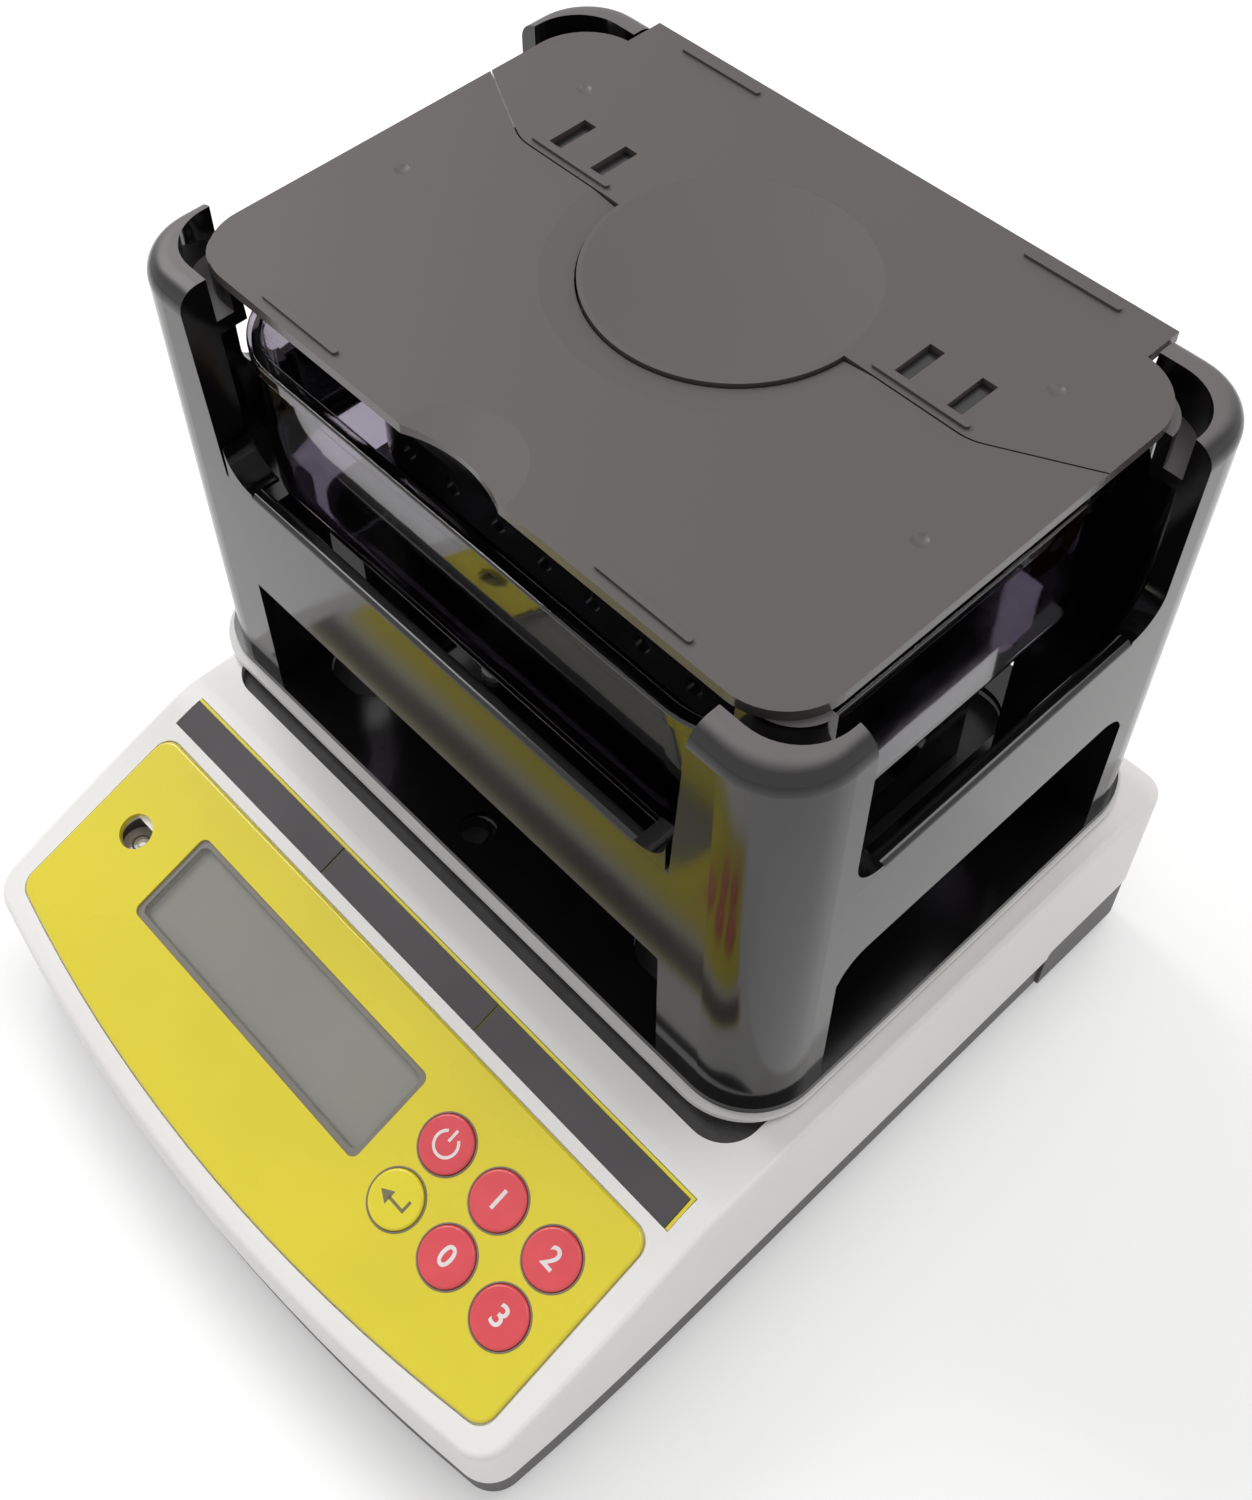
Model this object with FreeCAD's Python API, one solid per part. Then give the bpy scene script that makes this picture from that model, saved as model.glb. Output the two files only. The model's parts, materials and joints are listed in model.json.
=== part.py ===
import FreeCAD, Part
import math
import os

os.makedirs("parts", exist_ok=True)
Vec = FreeCAD.Vector

# Counter-top gold tester: a weighing base with a sloping keypad, and on its pan an open frame that
# holds a lid, a hanging basket and a water tank. Sizes are in millimetres. X runs to the right, Y to
# the back and Z up, from the middle of the footprint at counter level. The pieces are drawn about the
# housing's middle and then moved by centre_shift, because the frame stands out past its left side.

overrun = 1.0
fit_gap = 0.3
running_gap = 0.05
find_margin = 0.05
same_place = 0.001
upright_tilt_share = 0.1
level_tilt_share = 0.5

# Housing
housing_width = 180.5
housing_depth = 216.0
housing_top = 56.0
housing_wall = 2.5
front_bow = 8.3
side_taper = 1.6
taper_length = 45.0
front_corner_radius = 8.0
rear_corner_radius = 6.0
top_edge_radius = 1.6
slope_degrees = 19.3
front_panel_reach = 68.5
fold_radius = 25.0
cover_bottom = 18.0
front_y = -housing_depth / 2
rear_y = housing_depth / 2
fold_y = front_y + front_panel_reach

# Base
foot_lift = 5.0
base_floor = 2.5
base_inset = 1.2
base_wall = 2.5
spigot_gap = 0.2
spigot_rise = 3.0
rear_band_length = 34.2
rear_band_rise = 2.5
rear_band_overhang = 0.9
rear_band_radius = 2.0
base_floor_top = foot_lift + base_floor

# Levelling feet
foot_inset_x = 18.5
foot_inset_front = 23.0
foot_inset_rear = 20.0
foot_radius = 11.0
foot_height = 4.8
foot_pad_radius = 8.0
foot_pad_height = 1.2
foot_stem_radius = 3.0
foot_stem_length = 12.0
foot_pocket_gap = 1.2
foot_pocket_wall = 2.6
foot_tower_wall = 2.8
foot_tower_height = 13.0
foot_grip_count = 12
foot_grip_radius = 1.1
pocket_ceiling = foot_pad_height + foot_height + foot_pocket_gap

# Screws that close the housing from below
cover_screw_x = housing_width / 2 - 11.5
cover_screw_y = [front_y + 48.0, front_y + 128.0, rear_y - 42.0]
boss_radius = 3.6
screw_radius = 1.25
screw_head_radius = 2.8
screw_head_height = 1.2
screw_length = 11.0
screw_hole_gap = 0.25

# Yellow keypad panel, with sizes measured along the slope from the fold
panel_half_width = 83.0
panel_rear = 10.7
panel_front = 67.8
panel_front_bow = 8.8
panel_corner_radius = 4.5
panel_thickness = 1.6
panel_recess = 0.9
panel_edge_radius = 0.7
panel_gap = 0.35

# Keys
key_centre_x = 54.75
key_pitch_x = 16.17
key_upper_row = 27.3
key_pitch_row = 15.0
key_radius = 6.2
key_rise = 0.8
key_edge_radius = 0.6
key_stem_radius = 2.0
key_ring_outer = 6.7
key_ring_inner = 6.3
key_ring_rise = 0.2
key_travel = 0.5
key_switch_gap = 0.1

# Display and level
display_centre_x = -14.9
display_centre_row = 32.2
display_width = 81.2
display_height = 23.2
display_radius = 2.0
display_bezel_width = 1.3
display_pane_thickness = 0.8
display_pane_depth = 0.6
display_glass_rise = 0.5
display_module_width = 90.0
display_module_height = 33.0
level_x = -70.0
level_row = 31.4
level_window_radius = 4.35
level_vial_radius = 4.6
level_vial_height = 5.0
level_holder_wall = 1.5
level_drop = 2.4

# Keypad board
board_thickness = 1.6
keypad_board_depth = 9.0
keypad_board_half_width = 74.0
keypad_board_rear = 12.5
keypad_board_front = 58.0
keypad_boss_radius = 3.0
keypad_boss_inset = 4.5
switch_size = 6.0
switch_height = 3.4
switch_plunger_radius = 1.7

# Dark strip at the fold, with its yellow carrier
strip_half_width = 83.9
strip_front = 7.4
strip_rear = 0.9
strip_groove_depth = 1.5
strip_carrier_thickness = 0.6
strip_lip = 0.7
strip_cover_drop = 0.25
strip_seam = 0.4
strip_seam_places = [-27.5, 25.5]
strip_gap = 0.15

# Weighing frame, lid and tank share one centre, which lies left of the housing's
frame_offset = -8.1
frame_width = 182.5
frame_depth = 128.4
frame_front_margin = 85.4
frame_radius = 15.5
frame_wall = 3.5
frame_height = 122.4
frame_floor = 2.0
foot_flange = 1.4
post_width = 22.0
post_width_at_sill = 26.0
block_width = 27.2
post_depth = 20.5
post_arm_side = 4.5
post_arm_front = 7.1
post_block_top = 61.0
post_top_radius = 5.0
window_corner_radius = 8.0
crossbar_bottom = 40.4
side_opening_top = 46.0
side_opening_radius = 8.0
sill_height = 75.5
sill_radius = 1.2
frame_hole_radius = 4.25
frame_hole_inset = 6.9
lid_ledge_reach = 6.6
lid_ledge_height = 11.2
lid_groove_width = 4.2
lid_groove_depth = 8.0
frame_screw_x = 30.0
frame_screw_y = 26.0
frame_screw_head_radius = 3.2
frame_screw_head_height = 1.8
frame_centre_y = front_y + frame_front_margin + frame_depth / 2

# Pan plate and the recess under it
plate_gap = 1.5
plate_thickness = 1.5
plate_front_lip = 3.4
plate_side_lip = 2.0
plate_rear_lip = 1.4
plate_radius = 18.0
recess_depth = 3.0
recess_width = 169.2
recess_offset = -2.3
recess_front_margin = 79.0
recess_rear_margin = 5.0
recess_radius = 9.0
mat_thickness = 0.8
mat_gap = 0.2
leg_hole_centre = 52.5
leg_hole_width = 21.0
leg_hole_depth = 109.0
leg_hole_radius = 9.0
plate_bottom = housing_top + plate_gap
plate_top = plate_bottom + plate_thickness
frame_floor_top = plate_top + frame_floor
recess_floor = housing_top - recess_depth
mat_top = recess_floor + mat_thickness

# Load cell and the spider on it
cell_length = 80.0
cell_width = 15.0
cell_height = 15.0
cell_hole_radius = 4.5
cell_hole_pitch = 22.0
cell_slot = 2.0
cell_seat_length = 20.0
cell_seat_height = 6.5
cell_screw_pitch = 9.0
spider_half_width = 36.0
spider_half_depth = 32.0
spider_bar = 12.0
spider_thickness = 3.0
spider_block_length = 16.0
spider_block_height = 6.0
post_radius = 4.0
post_hole_gap = 2.0
cell_bottom = base_floor_top + cell_seat_height
spider_bottom = cell_bottom + cell_height + fit_gap

# Boards, battery and sockets inside
main_board_x = [-50.0, 45.0]
main_board_depth = 30.0
main_board_rear_margin = 5.7
main_board_height = 21.0
standoff_radius = 2.5
standoff_inset = 4.0
capacitor_shares = [0.62, 0.7]
capacitor_depth_share = 0.25
battery_x = [-48.0, 22.0]
battery_front_margin = 10.0
battery_depth = 44.0
battery_height = 16.0
battery_rib = 1.8
battery_rib_height = 5.0
battery_gap = 0.3
terminal_shares = [0.2, 0.8]
jack_x = -38.0
jack_width = 9.0
jack_length = 12.0
jack_height = 11.0
jack_barrel_radius = 4.0
jack_bore_radius = 2.8
jack_bore_depth = 9.0
jack_pin_radius = 1.0
port_x = 8.0
port_width = 31.0
port_height = 12.5
port_length = 12.0
port_shell_width = 17.0
port_shell_height = 8.6
port_shell_radius = 2.6
port_shell_wall = 0.5
port_nut_offset = 12.5
port_nut_radius = 2.4
socket_setback = 0.6

# Lid: a front plate over the tank and a rear plate with the weighing dish
lid_half_width = 81.3
lid_thickness = 2.5
lid_edge_gap = 2.5
lid_front_radius = 13.5
lid_rear_radius = 14.0
lid_tongue_gap = 0.8
seam_gap = 0.4
seam_side_from_rear = 37.9
seam_break_x = 59.5
seam_from_rear = 49.1
dish_from_rear = 47.3
dish_radius = 29.0
dish_seam_radius = 30.2
dish_depth = 3.4
dish_wall = 1.6
ring_width = 7.0
ring_drop = 0.9
notch_half_width = 13.4
notch_depth = 3.1
scoop_radius = 14.5
scoop_depth = 1.0
rib_length = 22.6
rib_width = 1.4
rib_height = 0.7
rib_x = 46.4
rib_front_inset = 2.9
rib_rear_inset = 3.3
rib_seam_inset = 2.2
slot_x = [40.6, 52.9]
slot_from_rear = 40.2
slot_width = 3.5
slot_length = 10.0
dimple_radius = 1.7
dimple_depth = 0.5
dimple_front_x = 68.7
dimple_front_from_rear = 72.9
dimple_rear_x = 62.3
dimple_rear_from_rear = 28.3
lap_width = 15.0
lap_reach = 6.0
lap_thickness = 1.4
lid_top = housing_top + frame_height
lid_bottom = lid_top - lid_thickness
frame_front = front_y + frame_front_margin
frame_rear = frame_front + frame_depth
lid_front = frame_front + post_arm_front + lid_edge_gap
lid_rear = frame_rear - post_arm_front - lid_edge_gap

# Water tank
tank_width = 151.0
tank_depth = 110.0
tank_radius = 20.0
tank_wall = 2.2
tank_bottom_lift = 64.0
tank_height = 42.0
tank_rim_width = 4.0
tank_rim_height = 3.2
tank_rim_radius = 1.2
tank_bottom_radius = 4.0
tab_radius = 7.5
tab_thickness = 1.8
tab_hole_radius = 1.9
tab_drop = 8.0
tab_from_middle = 27.0
tank_bottom = housing_top + tank_bottom_lift
tank_top = tank_bottom + tank_height

# Tank stand
stand_half_width = 58.0
stand_depth = 96.0
stand_radius = 8.0
stand_thickness = 2.6
stand_leg = 3.0
stand_foot = 11.0
stand_foot_height = 2.2
stand_arch_radius = 10.0
stand_arch_margin = 14.0

# Basket and its hangers
basket_width = 112.0
basket_front = 34.0
basket_rear = 42.0
basket_radius = 9.0
basket_wall = 1.6
basket_lift = 4.6
basket_height = 13.0
basket_hole_radius = 2.3
basket_hole_pitch = 14.0
strap_width = 2.9
strap_depth = 9.4
strap_recess = 1.5
hanger_bar_height = 4.0
hanger_foot_height = 2.0
basket_floor_top = tank_bottom + tank_wall + basket_lift + basket_wall

# From the housing's middle to the middle of the whole footprint
frame_reach = frame_width / 2 + plate_side_lip - frame_offset
centre_shift = (frame_reach - housing_width / 2) / 2


def flat(z):
    return lambda u, v: Vec(u, v, z)


def upright(x):
    return lambda u, v: Vec(x, u, v)


def facing(y):
    return lambda u, v: Vec(u, y, v)


def outline(points, radii, place):
    """Closed wire through points, each corner rounded by its radius."""
    count = len(points)
    edges = []
    starts = []
    for i in range(count):
        corner = Vec(points[i][0], points[i][1], 0)
        back = Vec(points[i - 1][0], points[i - 1][1], 0) - corner
        ahead = Vec(points[(i + 1) % count][0], points[(i + 1) % count][1], 0) - corner
        back.normalize()
        ahead.normalize()
        if radii[i] == 0:
            starts.append((corner, corner))
            continue
        half_angle = back.getAngle(ahead) / 2
        reach = radii[i] / math.tan(half_angle)
        middle = back + ahead
        middle.normalize()
        depth = radii[i] / math.sin(half_angle) - radii[i]
        starts.append((corner + back * reach, corner + ahead * reach))
        arc = [starts[-1][0], corner + middle * depth, starts[-1][1]]
        arc = [place(p.x, p.y) for p in arc]
        edges.append((i, Part.Arc(*arc).toShape()))
    arcs = dict(edges)
    ordered = []
    for i in range(count):
        if i in arcs:
            ordered.append(arcs[i])
        leave = starts[i][1]
        arrive = starts[(i + 1) % count][0]
        if (arrive - leave).Length > same_place:
            line = Part.LineSegment(place(leave.x, leave.y), place(arrive.x, arrive.y))
            ordered.append(line.toShape())
    return Part.Wire(ordered)


def block(x, y, z):
    """Plain block from its low and high limits on each axis."""
    return Part.makeBox(x[1] - x[0], y[1] - y[0], z[1] - z[0], Vec(x[0], y[0], z[0]))


def prism(points, radii, z):
    """Upright prism on a rounded outline."""
    return Part.Face(outline(points, radii, flat(z[0]))).extrude(Vec(0, 0, z[1] - z[0]))


def rounded_block(x, y, z, radius):
    corners = [(x[0], y[0]), (x[1], y[0]), (x[1], y[1]), (x[0], y[1])]
    return prism(corners, [radius] * 4, z)


def post(x, y, z, radius):
    """Upright cylinder between two heights."""
    return Part.makeCylinder(radius, z[1] - z[0], Vec(x, y, z[0]))


def middle_span(centre, width):
    return (centre - width / 2, centre + width / 2)


def fuse_all(shapes):
    whole = shapes[0]
    if len(shapes) > 1:
        whole = whole.multiFuse(shapes[1:])
    return whole.removeSplitter()


def upright_edges(solid):
    """Edges that run straight up."""
    found = []
    for edge in solid.Edges:
        if len(edge.Vertexes) == 2:
            run = edge.Vertexes[1].Point - edge.Vertexes[0].Point
            if run.Length > 0 and abs(run.z) > run.Length * (1 - upright_tilt_share ** 2):
                found.append(edge)
    return found


def rim_edges(solid, floor, ceiling=None):
    """Edges between an upright side and an upper face, above floor."""
    found = []
    for edge in solid.Edges:
        if edge.BoundBox.ZMin < floor:
            continue
        if ceiling is not None and edge.BoundBox.ZMax > ceiling:
            continue
        middle = edge.valueAt((edge.FirstParameter + edge.LastParameter) / 2)
        tilts = []
        for face in solid.ancestorsOfType(edge, Part.Face):
            u, v = face.Surface.parameter(middle)
            tilts.append(abs(face.normalAt(u, v).z))
        if len(tilts) == 2 and min(tilts) < upright_tilt_share and max(tilts) > level_tilt_share:
            found.append(edge)
    return found


def on_slope(shape):
    """Move a shape from the slope's own frame, measured from the fold, to its place."""
    placed = shape.copy()
    placed.rotate(Vec(0, 0, 0), Vec(1, 0, 0), slope_degrees)
    placed.translate(Vec(0, fold_y, housing_top))
    return placed


def save(name, shape):
    solids = shape.translated(Vec(centre_shift, 0, 0)).Solids
    kept = solids[0] if len(solids) == 1 else Part.makeCompound(solids)
    kept.exportStep("parts/" + name + ".step")


def bowed_prism(half, taper, run, rear, corner_y, nose, radii, z):
    """Prism with a bowed front, sides that draw in by taper over run, and rounded corners."""
    front_half = half - taper
    bend_y = corner_y + run
    low = z[0]
    rear_right = Vec(half, rear, low)
    rear_left = Vec(-half, rear, low)
    front_right = Vec(front_half, corner_y, low)
    front_left = Vec(-front_half, corner_y, low)
    edges = [Part.LineSegment(rear_left, rear_right).toShape()]
    if taper > 0:
        bend_right = Vec(half, bend_y, low)
        bend_left = Vec(-half, bend_y, low)
        mid_right = Vec(half - taper / 4, (bend_y + corner_y) / 2, low)
        mid_left = Vec(-half + taper / 4, (bend_y + corner_y) / 2, low)
        edges.append(Part.LineSegment(rear_right, bend_right).toShape())
        edges.append(Part.Arc(bend_right, mid_right, front_right).toShape())
        edges.append(Part.Arc(front_right, Vec(0, nose, low), front_left).toShape())
        edges.append(Part.Arc(front_left, mid_left, bend_left).toShape())
        edges.append(Part.LineSegment(bend_left, rear_left).toShape())
    else:
        edges.append(Part.LineSegment(rear_right, front_right).toShape())
        edges.append(Part.Arc(front_right, Vec(0, nose, low), front_left).toShape())
        edges.append(Part.LineSegment(front_left, rear_left).toShape())
    solid = Part.Face(Part.Wire(edges)).extrude(Vec(0, 0, z[1] - z[0]))
    for radius, y in zip(radii, (corner_y, rear)):
        corners = [e for e in upright_edges(solid) if abs(e.Vertexes[0].Point.y - y) < find_margin]
        solid = solid.makeFillet(radius, corners)
    return solid


def housing_prism(inset, z):
    """The housing's footprint, drawn in by inset."""
    nose = front_y + inset
    radii = (front_corner_radius - inset / 2, rear_corner_radius - inset / 2)
    return bowed_prism(housing_width / 2 - inset, side_taper, taper_length, rear_y - inset,
                       nose + front_bow, nose, radii, z)


def housing_form(inset, bottom, top):
    """The housing's outer form with its sloping front, drawn in by inset."""
    body = housing_prism(inset, (bottom, top))
    slope = math.radians(slope_degrees)
    fold = fold_y + inset * math.tan(slope / 2)
    reach = fold - front_y + overrun
    side = [(rear_y + overrun, bottom), (rear_y + overrun, top), (fold, top),
            (fold - reach, top - reach * math.tan(slope)), (fold - reach, bottom)]
    radii = [0, 0, fold_radius - inset, 0, 0]
    wedge = Part.Face(outline(side, radii, upright(-housing_width / 2))).extrude(Vec(housing_width, 0, 0))
    return body.common(wedge)


def panel_prism(gap, z):
    """The keypad panel's outline in the slope's frame, grown by gap."""
    return bowed_prism(panel_half_width + gap, 0, 0, -panel_rear + gap,
                       -panel_front + panel_front_bow - gap, -panel_front - gap,
                       (panel_corner_radius, panel_corner_radius), z)


def key_places():
    """Key centres in the slope's frame, upper row first, from the left."""
    places = []
    for row in range(2):
        for column in range(3):
            x = key_centre_x + (column - 1) * key_pitch_x
            places.append((x, -key_upper_row - row * key_pitch_row))
    return places


def display_block(grow, z):
    x = middle_span(display_centre_x, display_width + 2 * grow)
    s = middle_span(-display_centre_row, display_height + 2 * grow)
    return rounded_block(x, s, z, display_radius)


def level_place():
    slope = math.radians(slope_degrees)
    y = fold_y - level_row * math.cos(slope)
    z = housing_top - level_row * math.sin(slope)
    return y, z


def vial_top():
    """Height of the vial's top, just clear of the panel's sloping underside."""
    slope = math.radians(slope_degrees)
    under = panel_recess / math.cos(slope)
    return level_place()[1] - under - level_vial_radius * math.tan(slope) - level_drop


def span_recess(grow):
    x = middle_span(recess_offset, recess_width + 2 * grow)
    y = (front_y + recess_front_margin - grow, rear_y - recess_rear_margin + grow)
    return x, y


def spider_places():
    return [(frame_offset + i * frame_screw_x, frame_centre_y + j * frame_screw_y)
            for i in (-1, 1) for j in (-1, 1)]


def foot_places():
    """Foot centres with their names."""
    x = housing_width / 2 - foot_inset_x
    return {"front_left": (-x, front_y + foot_inset_front), "front_right": (x, front_y + foot_inset_front),
            "rear_left": (-x, rear_y - foot_inset_rear), "rear_right": (x, rear_y - foot_inset_rear)}


def cover_screw_places():
    return [(i * cover_screw_x, y) for i in (-1, 1) for y in cover_screw_y]


def rear_band_notch(grow):
    """Stepped strip along the rear part of the lower edge, rounded at its front end."""
    start = rear_y - rear_band_length
    top = cover_bottom + rear_band_rise
    side = [(start + grow, foot_lift - overrun), (rear_y + overrun, foot_lift - overrun),
            (rear_y + overrun, top - grow), (start + grow, top - grow)]
    wire = outline(side, [0, 0, 0, rear_band_radius], upright(-housing_width / 2 - overrun))
    return Part.Face(wire).extrude(Vec(housing_width + 2 * overrun, 0, 0))


def cover_bosses(cavity):
    """Screw bosses that reach from the cover's ceiling to the base floor."""
    bosses = []
    for x, y in cover_screw_places():
        tall = post(x, y, (base_floor_top, housing_top), boss_radius)
        bosses.append(tall.common(cavity))
    return bosses


def keypad_bosses():
    depth = (-keypad_board_depth, -housing_wall / 2)
    bosses = []
    for x in (-keypad_board_half_width + keypad_boss_inset, keypad_board_half_width - keypad_boss_inset):
        for s in (-keypad_board_front + keypad_boss_inset, -keypad_board_rear - keypad_boss_inset):
            bosses.append(on_slope(post(x, s, depth, keypad_boss_radius)))
    return bosses


def upper_housing():
    """White cover: sloping keypad front, shallow recess for the pan and sockets' openings."""
    solid = housing_form(0, cover_bottom, housing_top)
    solid = solid.makeFillet(top_edge_radius, rim_edges(solid, cover_bottom + overrun))
    cavity = housing_form(housing_wall, base_floor_top, housing_top - housing_wall)
    x, y = span_recess(housing_wall)
    guard = rounded_block(x, y, (recess_floor - housing_wall, housing_top), recess_radius + housing_wall)
    cavity = cavity.cut(guard)
    solid = solid.cut(cavity)
    solid = fuse_all([solid] + cover_bosses(cavity) + keypad_bosses())
    cuts = [rear_band_notch(0)]
    x, y = span_recess(0)
    cuts.append(rounded_block(x, y, (recess_floor, housing_top + overrun), recess_radius))
    for x, y in spider_places():
        cuts.append(post(x, y, (recess_floor - 2 * housing_wall, housing_top), post_radius + post_hole_gap))
    cuts.append(on_slope(panel_prism(panel_gap, (-panel_recess, overrun + panel_recess))))
    groove_x = (-strip_half_width - strip_gap, strip_half_width + strip_gap)
    groove_s = (-strip_front - strip_gap, strip_rear + strip_gap)
    cuts.append(on_slope(block(groove_x, groove_s, (-strip_groove_depth, overrun + strip_groove_depth))))
    for x, s in key_places():
        cuts.append(on_slope(post(x, s, (-housing_wall - overrun, 0), key_stem_radius + 2 * fit_gap)))
    cuts.append(on_slope(display_block(fit_gap, (-housing_wall - overrun, 0))))
    y, z = level_place()
    cuts.append(post(level_x, y, (vial_top() - level_vial_height, z), level_vial_radius + fit_gap))
    for x, y in cover_screw_places():
        pilot = (base_floor_top - overrun, base_floor_top + screw_length)
        cuts.append(post(x, y, pilot, screw_radius + running_gap))
    cuts.extend(socket_openings())
    return solid.cut(Part.makeCompound(cuts))


def socket_heights():
    board_top = main_board_height + board_thickness
    return board_top + jack_height / 2, board_top + port_height / 2


def socket_openings():
    jack_z, port_z = socket_heights()
    through = Vec(0, 2 * housing_wall, 0)
    start = rear_y - housing_wall - overrun
    place = Vec(jack_x, start, jack_z)
    jack = Part.makeCylinder(jack_barrel_radius + fit_gap, through.y, place, Vec(0, 1, 0))
    x = middle_span(port_x, port_shell_width + 4 * fit_gap)
    z = middle_span(port_z, port_shell_height + 4 * fit_gap)
    corners = [(x[0], z[0]), (x[1], z[0]), (x[1], z[1]), (x[0], z[1])]
    port = Part.Face(outline(corners, [port_shell_radius] * 4, facing(start))).extrude(through)
    openings = [jack, port]
    for side in (-1, 1):
        place = Vec(port_x + side * port_nut_offset, start, port_z)
        openings.append(Part.makeCylinder(port_nut_radius + fit_gap, through.y, place, Vec(0, 1, 0)))
    return openings


def base_shell():
    """Dark tray with foot pockets, screw holes, standoffs and the battery's ribs."""
    rim = housing_prism(base_inset, (foot_lift, cover_bottom))
    spigot_inset = housing_wall + spigot_gap
    spigot = housing_prism(spigot_inset, (cover_bottom, cover_bottom + spigot_rise))
    band = housing_prism(base_inset - rear_band_overhang, (foot_lift, cover_bottom + rear_band_rise))
    band = band.common(rear_band_notch(spigot_gap))
    band = band.cut(housing_prism(base_inset + base_wall, (base_floor_top, cover_bottom + spigot_rise)))
    cavity = housing_prism(base_inset + base_wall, (base_floor_top, cover_bottom + spigot_rise + overrun))
    solid = fuse_all([rim, spigot]).cut(cavity)
    solid = fuse_all([solid, band])
    added = []
    cuts = []
    pocket_top = pocket_ceiling + foot_pocket_wall
    for x, y in foot_places().values():
        pocket_radius = foot_radius + foot_pocket_gap
        tower_radius = foot_stem_radius + foot_tower_wall
        added.append(post(x, y, (foot_lift, pocket_top), pocket_radius + foot_pocket_wall))
        added.append(post(x, y, (pocket_ceiling, pocket_ceiling + foot_tower_height), tower_radius))
        cuts.append(post(x, y, (foot_lift - overrun, pocket_ceiling), pocket_radius))
        bore = (pocket_ceiling - overrun, pocket_ceiling + foot_tower_height + overrun)
        cuts.append(post(x, y, bore, foot_stem_radius + running_gap))
    for x, y in cover_screw_places():
        sink = (foot_lift - overrun, foot_lift + screw_head_height + screw_hole_gap)
        cuts.append(post(x, y, sink, screw_head_radius + screw_hole_gap))
        cuts.append(post(x, y, (foot_lift, base_floor_top + overrun), screw_radius + screw_hole_gap))
    for x, y in standoff_places():
        added.append(post(x, y, (base_floor_top - base_floor / 2, main_board_height), standoff_radius))
    added.extend(battery_ribs())
    return fuse_all([solid] + added).cut(Part.makeCompound(cuts))


def main_board_span():
    rear = rear_y - main_board_rear_margin
    return (rear - main_board_depth, rear)


def standoff_places():
    y = main_board_span()
    return [(i, j) for i in (main_board_x[0] + standoff_inset, main_board_x[1] - standoff_inset)
            for j in (y[0] + standoff_inset, y[1] - standoff_inset)]


def battery_span():
    low = front_y + battery_front_margin
    return (low, low + battery_depth)


def battery_ribs():
    """Low walls that hold the battery at its front and back."""
    span = battery_span()
    z = (base_floor_top - base_floor / 2, base_floor_top + battery_rib_height)
    front = (span[0] - battery_gap - battery_rib, span[0] - battery_gap)
    rear = (span[1] + battery_gap, span[1] + battery_gap + battery_rib)
    return [block(battery_x, front, z), block(battery_x, rear, z)]


def keypad_panel():
    """Yellow panel with soft edges, key holes, display opening and level window."""
    solid = panel_prism(0, (-panel_recess, panel_thickness - panel_recess))
    solid = solid.makeFillet(panel_edge_radius, rim_edges(solid, panel_thickness / 2 - panel_recess))
    cuts = [display_block(0, (-panel_thickness, panel_thickness))]
    for x, s in key_places():
        cuts.append(post(x, s, (-panel_thickness, panel_thickness), key_stem_radius + 2 * fit_gap))
        seat = (panel_thickness - 2 * panel_recess, panel_thickness)
        cuts.append(post(x, s, seat, key_ring_outer))
    cuts.append(post(level_x, -level_row, (-panel_thickness, panel_thickness), level_window_radius))
    return on_slope(solid.cut(Part.makeCompound(cuts)))


def key_rings():
    """Grey rings round the keys, seated in the panel."""
    rings = []
    low = panel_thickness - 2 * panel_recess
    high = panel_thickness - panel_recess + key_ring_rise
    for x, s in key_places():
        ring = post(x, s, (low, high), key_ring_outer)
        ring = ring.cut(post(x, s, (low - overrun, high + overrun), key_ring_inner))
        ring = ring.makeChamfer(key_ring_rise / 2, rim_edges(ring, high - find_margin))
        rings.append(on_slope(ring))
    return Part.makeCompound(rings)


def key_cap(x, s):
    """One key: a low domed cap on a stem that reaches down to its switch."""
    low = panel_thickness - 2 * panel_recess + key_travel + key_switch_gap
    high = panel_thickness - panel_recess + key_rise
    cap = post(x, s, (low, high), key_radius)
    cap = cap.makeFillet(key_edge_radius, rim_edges(cap, high - find_margin))
    switch_top = -keypad_board_depth + switch_height + switch_plunger_radius / 2
    stem = post(x, s, (switch_top + key_travel + key_switch_gap, low + key_switch_gap), key_stem_radius)
    return on_slope(fuse_all([cap, stem]))


def strip_trim():
    """Yellow carrier under the dark strip, seen at its back edge and right end."""
    low = -strip_groove_depth
    plate_x = (-strip_half_width, strip_half_width)
    base = block(plate_x, (-strip_front, strip_rear), (low, low + strip_carrier_thickness))
    back = block(plate_x, (strip_rear - strip_lip, strip_rear), (low, -strip_cover_drop))
    end = block((strip_half_width - strip_lip, strip_half_width), (-strip_front, strip_rear),
                (low, -strip_cover_drop))
    return on_slope(fuse_all([base, back, end]))


def strip_cover(index):
    """One of the three dark pieces of the strip, from the left."""
    limits = [-strip_half_width] + strip_seam_places + [strip_half_width - strip_lip]
    x = (limits[index] + strip_seam / 2, limits[index + 1] - strip_seam / 2)
    z = (-strip_groove_depth + strip_carrier_thickness, -strip_cover_drop)
    return on_slope(block(x, (-strip_front, strip_rear - strip_lip - strip_gap), z))


def display_bezel():
    """Grey frame inside the display opening."""
    z = (-housing_wall, panel_thickness - panel_recess - display_pane_depth)
    outer = display_block(0, z)
    inner = display_block(-display_bezel_width, (z[0] - overrun, z[1] + overrun))
    return on_slope(outer.cut(inner))


def display_window():
    """Clear pane set in the bezel."""
    high = panel_thickness - panel_recess - display_pane_depth
    return on_slope(display_block(-display_bezel_width, (high - display_pane_thickness, high)))


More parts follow.
